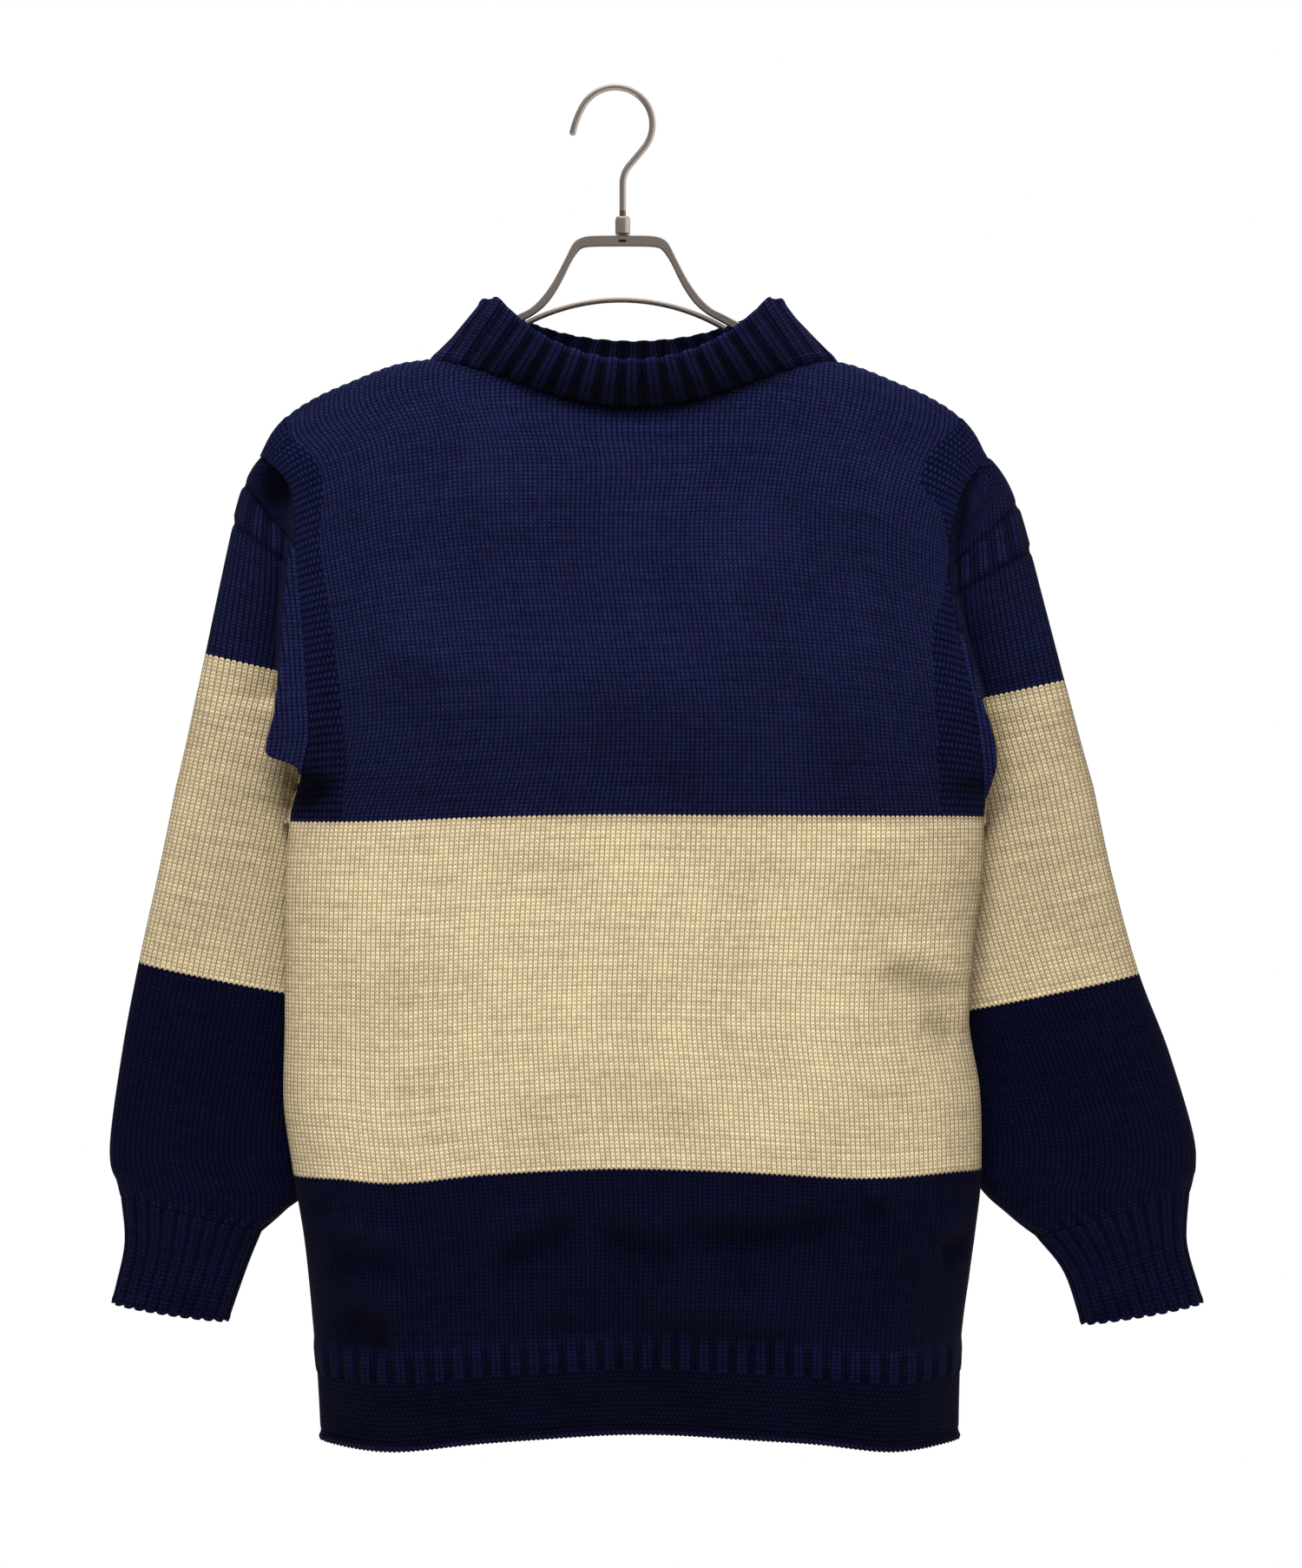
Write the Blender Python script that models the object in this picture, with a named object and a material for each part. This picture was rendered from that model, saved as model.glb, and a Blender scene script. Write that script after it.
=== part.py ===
"""Guernsey fisherman sweater hanging on a metal clothes hanger.

The garment is a front and a back panel, two sleeves, two underarm gussets, two cuffs, a
stand collar and two split welts, each a knitted wall. The hanger is a hook, a ferrule, a
bent strip with the shoulder arms, and an arched rod.

Frame: metres, +Z up, the front of the garment faces -Y, and the origin is the underside of
the hook's crown, where a rail would carry it. The tables below are in millimetres.
Left and right are as seen from in front.
"""

import math
from collections import namedtuple

import bmesh
import bpy
from mathutils import Vector

MM = 0.001

# Knitted walls
WALL = 2.5
RIB_WALL = 3.4
SEAM_GAP = 0.95     # half of the space between two panels at a seam, measured on their middle
ARMHOLE_GAP = 1.5
WELT_GAP = 0.4
GUSSET_GAP = 2.4
COLLAR_GAP = 2.6

# Shoulders: the ridge that hangs over the hanger's arms, by distance from the middle
RIDGE_MIDDLE = 1.0
RidgeRow = namedtuple("RidgeRow", "reach z")
RIDGE = (
    RidgeRow(0, -169.0),
    RidgeRow(100, -170.0),
    RidgeRow(124, -174.5),
    RidgeRow(146, -178.0),
    RidgeRow(176, -189.5),
    RidgeRow(200, -200.5),
    RidgeRow(216, -211.5),
    RidgeRow(226, -223.0),
    RidgeRow(233, -237.0),
)
RIDGE_RADIUS = 10.0

# Body, by height: side edges, depth of each panel at its middle, half gap at the edge
BodyRow = namedtuple("BodyRow", "z left right flare front back gap")
BODY = (
    BodyRow(-237, -223.0, 226.0, 8.5, 44, 39, 28),
    BodyRow(-250, -215.0, 223.0, 1.5, 44, 39, 28),
    BodyRow(-262, -210.0, 217.0, 0.0, 44, 39, 28),
    BodyRow(-290, -208.0, 209.5, 0.0, 44, 40, 28),
    BodyRow(-310, -206.5, 208.5, 0.0, 45, 40, 28),
    BodyRow(-344, -203.0, 213.0, 0.0, 45, 41, 28),
    BodyRow(-380, -200.5, 221.0, 0.0, 45, 41, 28),
    BodyRow(-411, -198.5, 227.0, 0.0, 45, 42, 26),
    BodyRow(-440, -204.0, 231.0, 0.0, 45, 42, 18),
    BodyRow(-460, -210.5, 232.5, 0.0, 45, 42, 6),
    BodyRow(-474, -213.0, 232.5, 0.0, 45, 42, 0.95),
    BodyRow(-502, -215.5, 232.0, 0.0, 45, 42, 0.95),
    BodyRow(-550, -216.0, 226.0, 0.0, 46, 42, 0.95),
    BodyRow(-597, -216.0, 223.0, 0.0, 46, 42, 0.95),
    BodyRow(-645, -217.0, 230.0, 0.0, 46, 41, 0.95),
    BodyRow(-695, -211.0, 231.0, 0.0, 45, 41, 0.95),
    BodyRow(-740, -203.5, 226.5, 0.0, 43, 40, 0.95),
    BodyRow(-804, -197.0, 218.0, 0.0, 40, 38, 0.95),
    BodyRow(-826, -195.0, 217.0, 0.0, 39, 37, 1.0),
    BodyRow(-868, -192.0, 215.5, 0.0, 37, 35, 6.5),
)
TIP_Z = -237.0
UNDERARM_Z = -474.0
FULLNESS = 2.6      # how square the body's plan is: 2 is an ellipse

# Armhole rows, from the shoulder tip down to the underarm point
ARMHOLE_ROWS = 8
ARMHOLE_SPREAD = 1.4
GUSSET_TOP_Z = -392.0
GUSSET_ROWS = 4
SIDE_ROWS = 8

# Columns of a panel: shares of a shoulder's width from its edge, and the cells between them
SHOULDER_COLUMNS = (0.0, 0.06, 0.2, 0.42, 0.7, 1.0)
NECK_CELLS = 10

# Neck opening
NECK_MIDDLE = 7.5
NECK_HALF = 131.5
NECK_SIDE_Z = -175.0
NECK_DROP = {-1: 31.0, 1: 20.0}
COLLAR_CELLS = 32
CollarSide = namedtuple("CollarSide", "depth top bulge bulge_drop")
COLLAR_TOP_HALF = 98.0
COLLAR_SIDE_TOP = -138.0
COLLAR = {-1: CollarSide(46, -180.0, 20, 6), 1: CollarSide(33, -157.5, 4, -12)}

# Hem and its two soft flutes
HEM_Z = -866.0
WELT_HEIGHT = 42.0
Flute = namedtuple("Flute", "side x width push drop")
FLUTES = (
    Flute(-1, -152, 44, 17, 4.0),
    Flute(-1, 176, 38, 17, 4.0),
    Flute(-1, 12, 80, -13, -4.5),
    Flute(1, -70, 52, 10, 1.5),
    Flute(1, 96, 56, 11, 1.5),
    Flute(1, 14, 40, -7, -1.0),
)
FLUTE_TOP_Z = -640.0

# Hanging sleeves: each section from its outer to its inner fold, and its thickness
Section = namedtuple("Section", "outer_x outer_y outer_z inner_x inner_y inner_z thick")
SLEEVE_LEFT = (
    Section(-286, 4, -449, -214, 44, -466, 46),
    Section(-297, 3, -502, -198, 48, -523, 48),
    Section(-310, 1, -562, -193, 47, -587, 48),
    Section(-321, -1, -622, -193, 42, -648, 47),
    Section(-328.5, -3, -684, -204, 28, -706, 44),
    Section(-324, -3, -703, -219, 14, -723, 40),
    Section(-321, -3, -712, -234, 5, -735, 33),
)
SLEEVE_RIGHT = (
    Section(303, 4, -449, 229, 44, -468, 46),
    Section(315, 3, -505, 216, 48, -530, 48),
    Section(332, 1, -568, 210, 47, -597, 49),
    Section(353, -1, -624, 215, 42, -655, 50),
    Section(369, -3, -686, 231, 28, -704, 46),
    Section(367.5, -3, -700, 252, 14, -726, 40),
    Section(364.5, -3, -709, 269, 5, -738, 33),
)
CUFF_LEFT = (
    Section(-320.5, -3, -713, -234.5, 5, -736, 33),
    Section(-318, -3, -740, -243, 0, -757, 29),
    Section(-326, -4, -781, -255, -4, -792, 30),
)
CUFF_RIGHT = (
    Section(364, -3, -710, 269.5, 5, -739, 33),
    Section(362, -3, -738, 287, 0, -761, 29),
    Section(372.5, -4, -781, 298, -4, -794, 30),
)
HEAD_STEPS = (0.0, 0.05, 0.12, 0.22, 0.36, 0.52, 0.7, 0.86, 1.0)
HEAD_FACE = {-1: 14.0, 1: 22.0}     # how far the sleeve head stands out, front and back
TUCK = 13.0                         # how far behind the gusset's root the sleeve starts
HEAD_FOLD = 8.0                     # width of the fold between the underarm strip and the sleeve

# The strip beside the armhole that folds forward over the sleeve, by height
StripRow = namedtuple("StripRow", "z left right")
STRIP = (
    StripRow(-237, 0, 0),
    StripRow(-285, 1, 0),
    StripRow(-315, 6, 1),
    StripRow(-345, 12, 2),
    StripRow(-375, 15.5, 3.5),
    StripRow(-390, 17, 5),
    StripRow(-400, 3, 2),
    StripRow(-474, 0, 0),
)
HEAD_BULGE = {-1: 9.0, 1: 12.5}     # outward, left and right
UNDERARM_BULGE = 6.0

# Underarm gussets: the folded ear, by height, reaching out from the armhole edge
EarRow = namedtuple("EarRow", "z left right lean")
EARS = (
    EarRow(-388, 17.5, 4.5, 6.5),
    EarRow(-402, 21.0, 6.5, 8.0),
    EarRow(-414, 25.5, 8.5, 8.0),
    EarRow(-422, 26.0, 9.5, 8.0),
    EarRow(-430, 13.0, 9.5, 7.5),
    EarRow(-438, 6.5, 8.5, 6.0),
    EarRow(-445, 4.0, 6.5, 4.5),
)
EAR_CELLS = 8

# Hanger
HANGER_X = 0.8
WIRE_RADIUS = 2.1
CROWN_RADIUS = 24.0
CROWN_X = -4.0
CROWN_SLANT = 40.0      # degrees below +X where the crown runs out into the slanting run
CROWN_END = 150.0
TAIL_RADIUS = 59.0
TAIL_TURN = 20.0
TIP_ROUND = ((0.0, 0.3), (0.4, 0.66), (1.0, 0.9), (1.9, 1.0))   # distance from the tip, radius share
BEND_RADIUS = 18.5
SHANK_END_Z = -91.0
FERRULE_RADIUS = 4.8
FERRULE_TOP_Z = -81.5
FERRULE_BOTTOM_Z = -92.7
FERRULE_BORE = 2.5
BAR_DEPTH = 4.4
BAR_TRIM = 0.6
BAR_X = -0.4
BAR_STEPS = 3       # rings to each row of the table
BarRow = namedtuple("BarRow", "row reach z half")
BAR = (
    BarRow(0, 0, -97.0, 3.5),
    BarRow(1, 18, -97.2, 3.5),
    BarRow(2, 25.2, -98.4, 3.3),
    BarRow(3, 29.2, -101.6, 2.8),
    BarRow(4, 34.2, -110.2, 2.1),
    BarRow(5, 41.4, -124.2, 2.3),
    BarRow(6, 49, -135.2, 2.5),
    BarRow(7, 57, -142.4, 2.3),
    BarRow(8, 66, -147.2, 2.5),
    BarRow(9, 78, -154.0, 2.6),
    BarRow(10, 100, -168.2, 3.0),
    BarRow(11, 122, -180.4, 3.0),
    BarRow(12, 146, -186.0, 3.0),
    BarRow(13, 176, -197.8, 3.0),
    BarRow(14, 200, -209.4, 3.0),
    BarRow(15, 211, -217.0, 2.6),
)
ROD_RADIUS = 1.7
ROD_APEX_Z = -135.2
ROD_ARC_RADIUS = 131.0
ROD_REACH = 67.0


def clamp(value, low=0.0, high=1.0):
    return max(low, min(high, value))


def smooth(value):
    value = clamp(value)
    return value * value * (3 - 2 * value)


def mix(a, b, share):
    return a + (b - a) * share


def bell(distance, width):
    return math.exp(-((distance / width) ** 2))


def along(rows, key, column, at):
    """A smooth value of one column, where the key column passes through at."""
    keys = [getattr(row, key) for row in rows]
    values = [getattr(row, column) for row in rows]
    if keys[0] > keys[-1]:
        keys, values = keys[::-1], values[::-1]
    at = clamp(at, keys[0], keys[-1])
    i = max(0, min(len(keys) - 2, sum(k <= at for k in keys) - 1))
    step = keys[i + 1] - keys[i]
    rise = (values[i + 1] - values[i]) / step
    before = (values[i] - values[i - 1]) / (keys[i] - keys[i - 1]) if i else rise
    last = i + 2 == len(keys)
    after = rise if last else (values[i + 2] - values[i + 1]) / (keys[i + 2] - keys[i + 1])
    slope_in = 0.0 if before * rise <= 0 else (before + rise) / 2
    slope_out = 0.0 if after * rise <= 0 else (after + rise) / 2
    t = (at - keys[i]) / step
    bend = step * t * (1 - t) * ((1 - t) * (slope_in - rise) - t * (slope_out - rise))
    return mix(values[i], values[i + 1], t) + bend


# --- Materials and mesh builders ---

def material(name, colour, roughness, metallic=0.0):
    made = bpy.data.materials.new(name)
    made.use_nodes = True
    shader = made.node_tree.nodes["Principled BSDF"]
    shader.inputs["Base Color"].default_value = (*colour, 1.0)
    shader.inputs["Roughness"].default_value = roughness
    shader.inputs["Metallic"].default_value = metallic
    return made


def object_of(name, bm, finish):
    mesh = bpy.data.meshes.new(name)
    bm.to_mesh(mesh)
    bm.free()
    mesh.shade_smooth()
    made = bpy.data.objects.new(name, mesh)
    bpy.context.scene.collection.objects.link(made)
    made.data.materials.append(finish)
    return made


def knitted(name, rows, wall, finish, tube=False):
    """A knitted wall on a grid of points in millimetres, one list for each row.

    A tube's first column is repeated as its last, and the two are merged."""
    columns = len(rows[0])
    bm = bmesh.new()
    bmesh.ops.create_grid(bm, x_segments=columns - 1, y_segments=len(rows) - 1, size=1)
    bm.verts.ensure_lookup_table()
    for index, vert in enumerate(bm.verts):
        vert.co = Vector(rows[index // columns][index % columns]) * MM
    if tube:
        bmesh.ops.remove_doubles(bm, verts=bm.verts, dist=1e-7)
    made = object_of(name, bm, finish)
    solid = made.modifiers.new("wall", "SOLIDIFY")
    solid.thickness = wall * MM
    solid.offset = 0.0
    solid.use_even_offset = False
    return made


# --- Body ---

def ridge_z(x):
    return along(RIDGE, "reach", "z", abs(x - RIDGE_MIDDLE))


def side_edge(side, z):
    """x of the armhole edge, or of the side seam below it; side is -1 left, 1 right."""
    column = "left" if side < 0 else "right"
    return along(BODY, "z", column, z) + side * along(BODY, "z", "flare", z)


def flutes(face, x, z):
    run = smooth((FLUTE_TOP_Z - z) / (FLUTE_TOP_Z - HEM_Z))
    return run * sum(f.push * bell(x - f.x, f.width) for f in FLUTES if f.side == face)


def body_y(face, x, z):
    """Depth of a panel's middle surface; face is -1 for the front and 1 for the back."""
    left = along(BODY, "z", "left", z)
    right = along(BODY, "z", "right", z)
    share = clamp(abs(2 * x - left - right) / (right - left))
    depth = along(BODY, "z", "front" if face < 0 else "back", z)
    gap = along(BODY, "z", "gap", z)
    power = mix(1.0, 0.5, smooth((-400 - z) / 74))
    form = (1 - share ** FULLNESS) ** power
    full = mix(gap, depth + flutes(face, x, z), form)
    drop = max(0.0, ridge_z(x) - z)
    reach = math.sqrt(2 * RIDGE_RADIUS * drop) / depth
    hang = reach / (1 + reach ** 4) ** 0.25
    return face * max(SEAM_GAP, full * hang)


def neck_z(face, x):
    share = clamp(abs(x - NECK_MIDDLE) / NECK_HALF)
    return NECK_SIDE_Z - NECK_DROP[face] * math.cos(share * math.pi / 2) ** 1.5


def panel_top(face, x):
    inside = abs(x - NECK_MIDDLE) < NECK_HALF
    return neck_z(face, x) if inside else ridge_z(x)


def hem_z(face, x):
    return HEM_Z - sum(f.drop * bell(x - f.x, f.width) for f in FLUTES if f.side == face)


def armhole_levels():
    fall = TIP_Z - GUSSET_TOP_Z
    upper = [TIP_Z - fall * (i / ARMHOLE_ROWS) ** ARMHOLE_SPREAD for i in range(ARMHOLE_ROWS)]
    step = (GUSSET_TOP_Z - UNDERARM_Z) / GUSSET_ROWS
    return upper + [GUSSET_TOP_Z - step * i for i in range(GUSSET_ROWS + 1)]


def panel_columns():
    """Shares across a panel, with a column at each side of the neck."""
    left_tip, right_tip = side_edge(-1, TIP_Z), side_edge(1, TIP_Z)
    neck_left = (NECK_MIDDLE - NECK_HALF - left_tip) / (right_tip - left_tip)
    neck_right = (NECK_MIDDLE + NECK_HALF - left_tip) / (right_tip - left_tip)
    shares = [neck_left * c for c in SHOULDER_COLUMNS]
    shares += [mix(neck_left, neck_right, i / NECK_CELLS) for i in range(1, NECK_CELLS)]
    shares += [1 - (1 - neck_right) * c for c in reversed(SHOULDER_COLUMNS)]
    return shares


def across(share, z):
    """x at a share of the panel's width; the flare at the tip stays in the outer columns."""
    left = along(BODY, "z", "left", z)
    right = along(BODY, "z", "right", z)
    flare = along(BODY, "z", "flare", z)
    near = clamp(1 - share / 0.12) ** 2 - clamp(1 - (1 - share) / 0.12) ** 2
    return mix(left, right, share) - flare * near


def body_point(face, share, z):
    x = across(share, z)
    return x, body_y(face, x, z), z


def panel_rows(face):
    rows = []
    shares = panel_columns()
    tops = [panel_top(face, across(share, TIP_Z)) for share in shares]
    for level in armhole_levels():
        fall = (TIP_Z - level) / (TIP_Z - UNDERARM_Z)
        row = [body_point(face, s, mix(top, UNDERARM_Z, fall)) for s, top in zip(shares, tops)]
        rows.append(row)
    for i in range(1, SIDE_ROWS + 1):
        row = []
        for share in shares:
            low = hem_z(face, across(share, HEM_Z)) + WELT_HEIGHT + WELT_GAP
            row.append(body_point(face, share, mix(UNDERARM_Z, low, i / SIDE_ROWS)))
        rows.append(row)
    return rows


def welt_rows(face):
    rows = []
    for fall in (0.0, 0.5, 1.0):
        row = []
        for share in panel_columns():
            low = hem_z(face, across(share, HEM_Z))
            row.append(body_point(face, share, mix(low + WELT_HEIGHT, low, fall)))
        rows.append(row)
    return rows


# --- Collar ---

def collar_rows():
    rows = []
    for rise in (0.0, 0.3, 0.65, 1.0):
        row = []
        for i in range(COLLAR_CELLS + 1):
            turn = 2 * math.pi * i / COLLAR_CELLS
            across_neck, around = math.cos(turn), math.sin(turn)
            face = -1 if around < 0 else 1
            side = COLLAR[face]
            x = NECK_MIDDLE + NECK_HALF * across_neck
            low_z = neck_z(face, x)
            low = Vector((x, body_y(face, x, low_z) * (abs(around) > 1e-6), low_z + COLLAR_GAP))
            turned = abs(around) ** 1.3
            top = Vector((
                NECK_MIDDLE + COLLAR_TOP_HALF * across_neck,
                face * side.depth * abs(around) ** 0.9,
                mix(COLLAR_SIDE_TOP, side.top, turned),
            ))
            middle = (low + top) / 2
            middle.y += face * side.bulge * turned
            middle.z -= side.bulge_drop * turned
            point = low * (1 - rise) ** 2 + middle * 2 * rise * (1 - rise) + top * rise ** 2
            row.append(tuple(point))
        rows.append(row)
    return rows


# --- Sleeves ---

def ring_point(section, turn):
    """A point round a sleeve section: 0 at the inner fold, a quarter at the front."""
    outer = Vector((section.outer_x, section.outer_y, section.outer_z))
    inner = Vector((section.inner_x, section.inner_y, section.inner_z))
    half = (inner - outer) / 2
    front = Vector((half.y, -abs(half.x), 0)).normalized() * section.thick / 2
    front.x *= 1 if half.x > 0 else -1
    angle = 2 * math.pi * turn
    return (outer + inner) / 2 + half * math.cos(angle) + front * math.sin(angle)


def between(a, b, share):
    return Section(*(mix(m, n, share) for m, n in zip(a, b)))


def armhole_point(side, face, z):
    """A point of the sleeve's first row, just outside the panel's armhole edge."""
    x = side_edge(side, z)
    step = side_edge(side, z - 1) - x
    length = math.hypot(1, step)
    y = body_y(face, x, z)
    tucked = smooth((GUSSET_TOP_Z + 20 - z) / 20) * TUCK
    y = face * max(0.0, abs(y) - tucked * (z > UNDERARM_Z))
    out = ARMHOLE_GAP + 0.1 * tucked
    return Vector((x + side * out / length, y, z + side * out * step / length))


def head_y(side, face, x, z):
    """Depth of the sleeve head: the strip by the armhole, a fold, then the hanging sleeve."""
    edge = side_edge(side, z)
    sections = SLEEVE_LEFT if side < 0 else SLEEVE_RIGHT
    fall = clamp((TIP_Z - z) / (TIP_Z - sections[0].outer_z))
    tip = side_edge(side, TIP_Z)
    outer = mix(tip, sections[0].outer_x, fall) + side * head_bulge(side, fall)
    strip = along(STRIP, "z", "left" if side < 0 else "right", z)
    distance = max(0.0, side * (x - edge))
    strip_y = face * max(0.0, abs(armhole_point(side, face, z).y) - 0.12 * distance)
    room = max(4.0, side * (outer - edge) - strip)
    share = clamp((distance - strip) / room)
    middle = fall * fall * mix(sections[0].inner_y, sections[0].outer_y, share)
    face_y = middle + face * HEAD_FACE[face] * (4 * share * (1 - share)) ** 0.55
    return mix(strip_y, face_y, smooth((distance - strip) / HEAD_FOLD))


def head_bulge(side, fall):
    return HEAD_BULGE[side] * (1 - fall) * (1 - math.exp(-fall / 0.06))


def sleeve_rows(side):
    sections = SLEEVE_LEFT if side < 0 else SLEEVE_RIGHT
    levels = armhole_levels()
    ring = [(-1, z) for z in reversed(levels)] + [(1, z) for z in levels[1:]]
    rows = []
    for step in HEAD_STEPS:
        row = []
        for i, (face, level) in enumerate(ring):
            start = armhole_point(side, face, level)
            end = ring_point(sections[0], i / (len(ring) - 1))
            if level in (TIP_Z, UNDERARM_Z):
                start.y = 0.0
            point = start.lerp(end, step)
            near_tip = smooth((level - UNDERARM_Z) / (TIP_Z - UNDERARM_Z))
            point.x += side * head_bulge(side, step) * near_tip
            point.x += side * UNDERARM_BULGE * (1 - near_tip) * math.sin(math.pi * step)
            if UNDERARM_Z < level < TIP_Z:
                modelled = head_y(side, face, point.x, point.z)
                point.y = mix(modelled, point.y, smooth((step - 0.55) / 0.45)) if step else start.y
            row.append(tuple(point))
        rows.append(row)
    for a, b in zip(sections, sections[1:]):
        middle = [0.5, 1.0] if a.outer_z > -640 else [1.0]
        for share in middle:
            section = between(a, b, share)
            turns = [i / (len(ring) - 1) for i in range(len(ring))]
            rows.append([tuple(ring_point(section, turn)) for turn in turns])
    return rows


def cuff_rows(sections):
    rows = []
    for a, b in zip(sections, sections[1:]):
        for share in (0.0, 0.5):
            rows.append(between(a, b, share))
    rows.append(sections[-1])
    cells = 24
    turns = [i / cells for i in range(cells + 1)]
    return [[tuple(ring_point(section, turn)) for turn in turns] for section in rows]


def gusset_rows(side):
    """The gusset folds forward in a soft ear: out from the armhole edge, round, and back."""
    rows = []
    column = "left" if side < 0 else "right"
    for ear in EARS:
        edge = side_edge(side, ear.z)
        root = body_y(-1, edge, ear.z)
        reach = getattr(ear, column)
        row = []
        for i in range(EAR_CELLS + 1):
            turn = math.pi * i / EAR_CELLS
            out = reach * math.sin(turn) ** 0.8
            back = mix(0.0, ear.lean, (1 - math.cos(turn)) / 2)
            sag = 3.0 * math.sin(turn)
            x = edge + side * (GUSSET_GAP + out)
            row.append((x, root + back + 0.18 * out, ear.z - sag))
        rows.append(row)
    return rows


# --- Hanger ---

def arc(middle, radius, start, end, points):
    """Points of an arc in the XZ plane, its angles in degrees from +X."""
    found = []
    for i in range(points + 1):
        angle = math.radians(mix(start, end, i / points))
        x = middle[0] + radius * math.cos(angle)
        found.append((x, 0.0, middle[1] + radius * math.sin(angle)))
    return found


def wire(name, points, radius, finish, shares=()):
    """A round bar along points in millimetres; shares thin its first points, for a rounded tip."""
    data = bpy.data.curves.new(name, "CURVE")
    data.dimensions = "3D"
    data.bevel_depth = radius * MM
    data.bevel_resolution = 3
    data.use_fill_caps = True
    spline = data.splines.new("POLY")
    spline.points.add(len(points) - 1)
    for point, place in zip(spline.points, points):
        point.co = (*(Vector(place) * MM), 1.0)
    for point, share in zip(spline.points, shares):
        point.radius = share
    spline.use_smooth = True
    made = bpy.data.objects.new(name, data)
    bpy.context.scene.collection.objects.link(made)
    data.materials.append(finish)
    return made


def hook_points():
    """Tail, crown, slanting run, reverse bend and shank, each tangent to the next."""
    crown = (CROWN_X, WIRE_RADIUS - CROWN_RADIUS)
    crown_points = arc(crown, CROWN_RADIUS, CROWN_END, -CROWN_SLANT, 30)
    end = math.radians(CROWN_END)
    shift = TAIL_RADIUS - CROWN_RADIUS
    tail_middle = (crown[0] - shift * math.cos(end), crown[1] - shift * math.sin(end))
    turns = [math.degrees(distance / TAIL_RADIUS) for distance, _ in TIP_ROUND]
    tip_angle = CROWN_END + TAIL_TURN
    tip = [arc(tail_middle, TAIL_RADIUS, tip_angle - turn, tip_angle, 1)[0] for turn in turns]
    tail = arc(tail_middle, TAIL_RADIUS, tip_angle - TAIL_TURN / 5, CROWN_END, 4)
    slant = math.radians(CROWN_SLANT)
    foot_x, foot_z = crown_points[-1][0], crown_points[-1][2]
    run = (foot_x - HANGER_X - BEND_RADIUS * (1 - math.cos(slant))) / math.sin(slant)
    bend_z = foot_z - run * math.cos(slant) - BEND_RADIUS * math.sin(slant)
    bend = arc((HANGER_X + BEND_RADIUS, bend_z), BEND_RADIUS, 180 - CROWN_SLANT, 180, 10)
    return tip + tail[:-1] + crown_points + bend + [(HANGER_X, 0.0, SHANK_END_Z)]


def flat_bar(name, finish):
    """The bent strip: its section is a rectangle with trimmed corners, square to its path."""
    steps = [i / BAR_STEPS for i in range((len(BAR) - 1) * BAR_STEPS + 1)]
    run = [[along(BAR, "row", column, i) for column in ("reach", "z", "half")] for i in steps]
    rows = [(-reach, z, half) for reach, z, half in reversed(run)] + run[1:]
    deep = BAR_DEPTH / 2
    rings = []
    for i, (reach, z, half) in enumerate(rows):
        before, after = rows[max(0, i - 1)], rows[min(len(rows) - 1, i + 1)]
        ahead = Vector((after[0] - before[0], 0, after[1] - before[1])).normalized()
        up = Vector((-ahead.z, 0, ahead.x))
        middle = Vector((BAR_X + reach, 0, z))
        trim = BAR_TRIM
        corners = [(half, deep - trim), (half, trim - deep), (half - trim, -deep)]
        corners += [(trim - half, -deep), (-half, trim - deep), (-half, deep - trim)]
        corners += [(trim - half, deep), (half - trim, deep), (half, deep - trim)]
        rings.append([tuple(middle + up * a + Vector((0, b, 0))) for a, b in corners])
    columns = len(rings[0])
    bm = bmesh.new()
    bmesh.ops.create_grid(bm, x_segments=columns - 1, y_segments=len(rings) - 1, size=1)
    bm.verts.ensure_lookup_table()
    for index, vert in enumerate(bm.verts):
        vert.co = Vector(rings[index // columns][index % columns]) * MM
    bmesh.ops.remove_doubles(bm, verts=bm.verts, dist=1e-7)
    bmesh.ops.holes_fill(bm, edges=bm.edges, sides=columns)
    bmesh.ops.recalc_face_normals(bm, faces=bm.faces)
    made = object_of(name, bm, finish)
    made.data.set_sharp_from_angle(angle=math.radians(35))
    return made


def ferrule(name, finish):
    """A turned ring round the shank, with a rounded top."""
    profile = (
        (FERRULE_BORE, FERRULE_BOTTOM_Z),
        (FERRULE_RADIUS, FERRULE_BOTTOM_Z),
        (FERRULE_RADIUS, FERRULE_TOP_Z - 3.4),
        (FERRULE_RADIUS - 0.35, FERRULE_TOP_Z - 1.3),
        (FERRULE_RADIUS - 1.2, FERRULE_TOP_Z),
        (FERRULE_BORE, FERRULE_TOP_Z),
    )
    bm = bmesh.new()
    verts = [bm.verts.new(Vector((HANGER_X + r, 0, z)) * MM) for r, z in profile]
    edges = [bm.edges.new((a, b)) for a, b in zip(verts, verts[1:] + verts[:1])]
    bmesh.ops.spin(
        bm,
        geom=verts + edges,
        cent=Vector((HANGER_X, 0, 0)) * MM,
        axis=(0, 0, 1),
        angle=2 * math.pi,
        steps=24,
        use_merge=True,
    )
    bmesh.ops.recalc_face_normals(bm, faces=bm.faces)
    made = object_of(name, bm, finish)
    made.data.set_sharp_from_angle(angle=math.radians(35))


def rod_points():
    reach = math.degrees(math.asin(ROD_REACH / ROD_ARC_RADIUS))
    middle = (BAR_X, ROD_APEX_Z - ROD_ARC_RADIUS)
    return arc(middle, ROD_ARC_RADIUS, 90 + reach, 90 - reach, 30)


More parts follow.
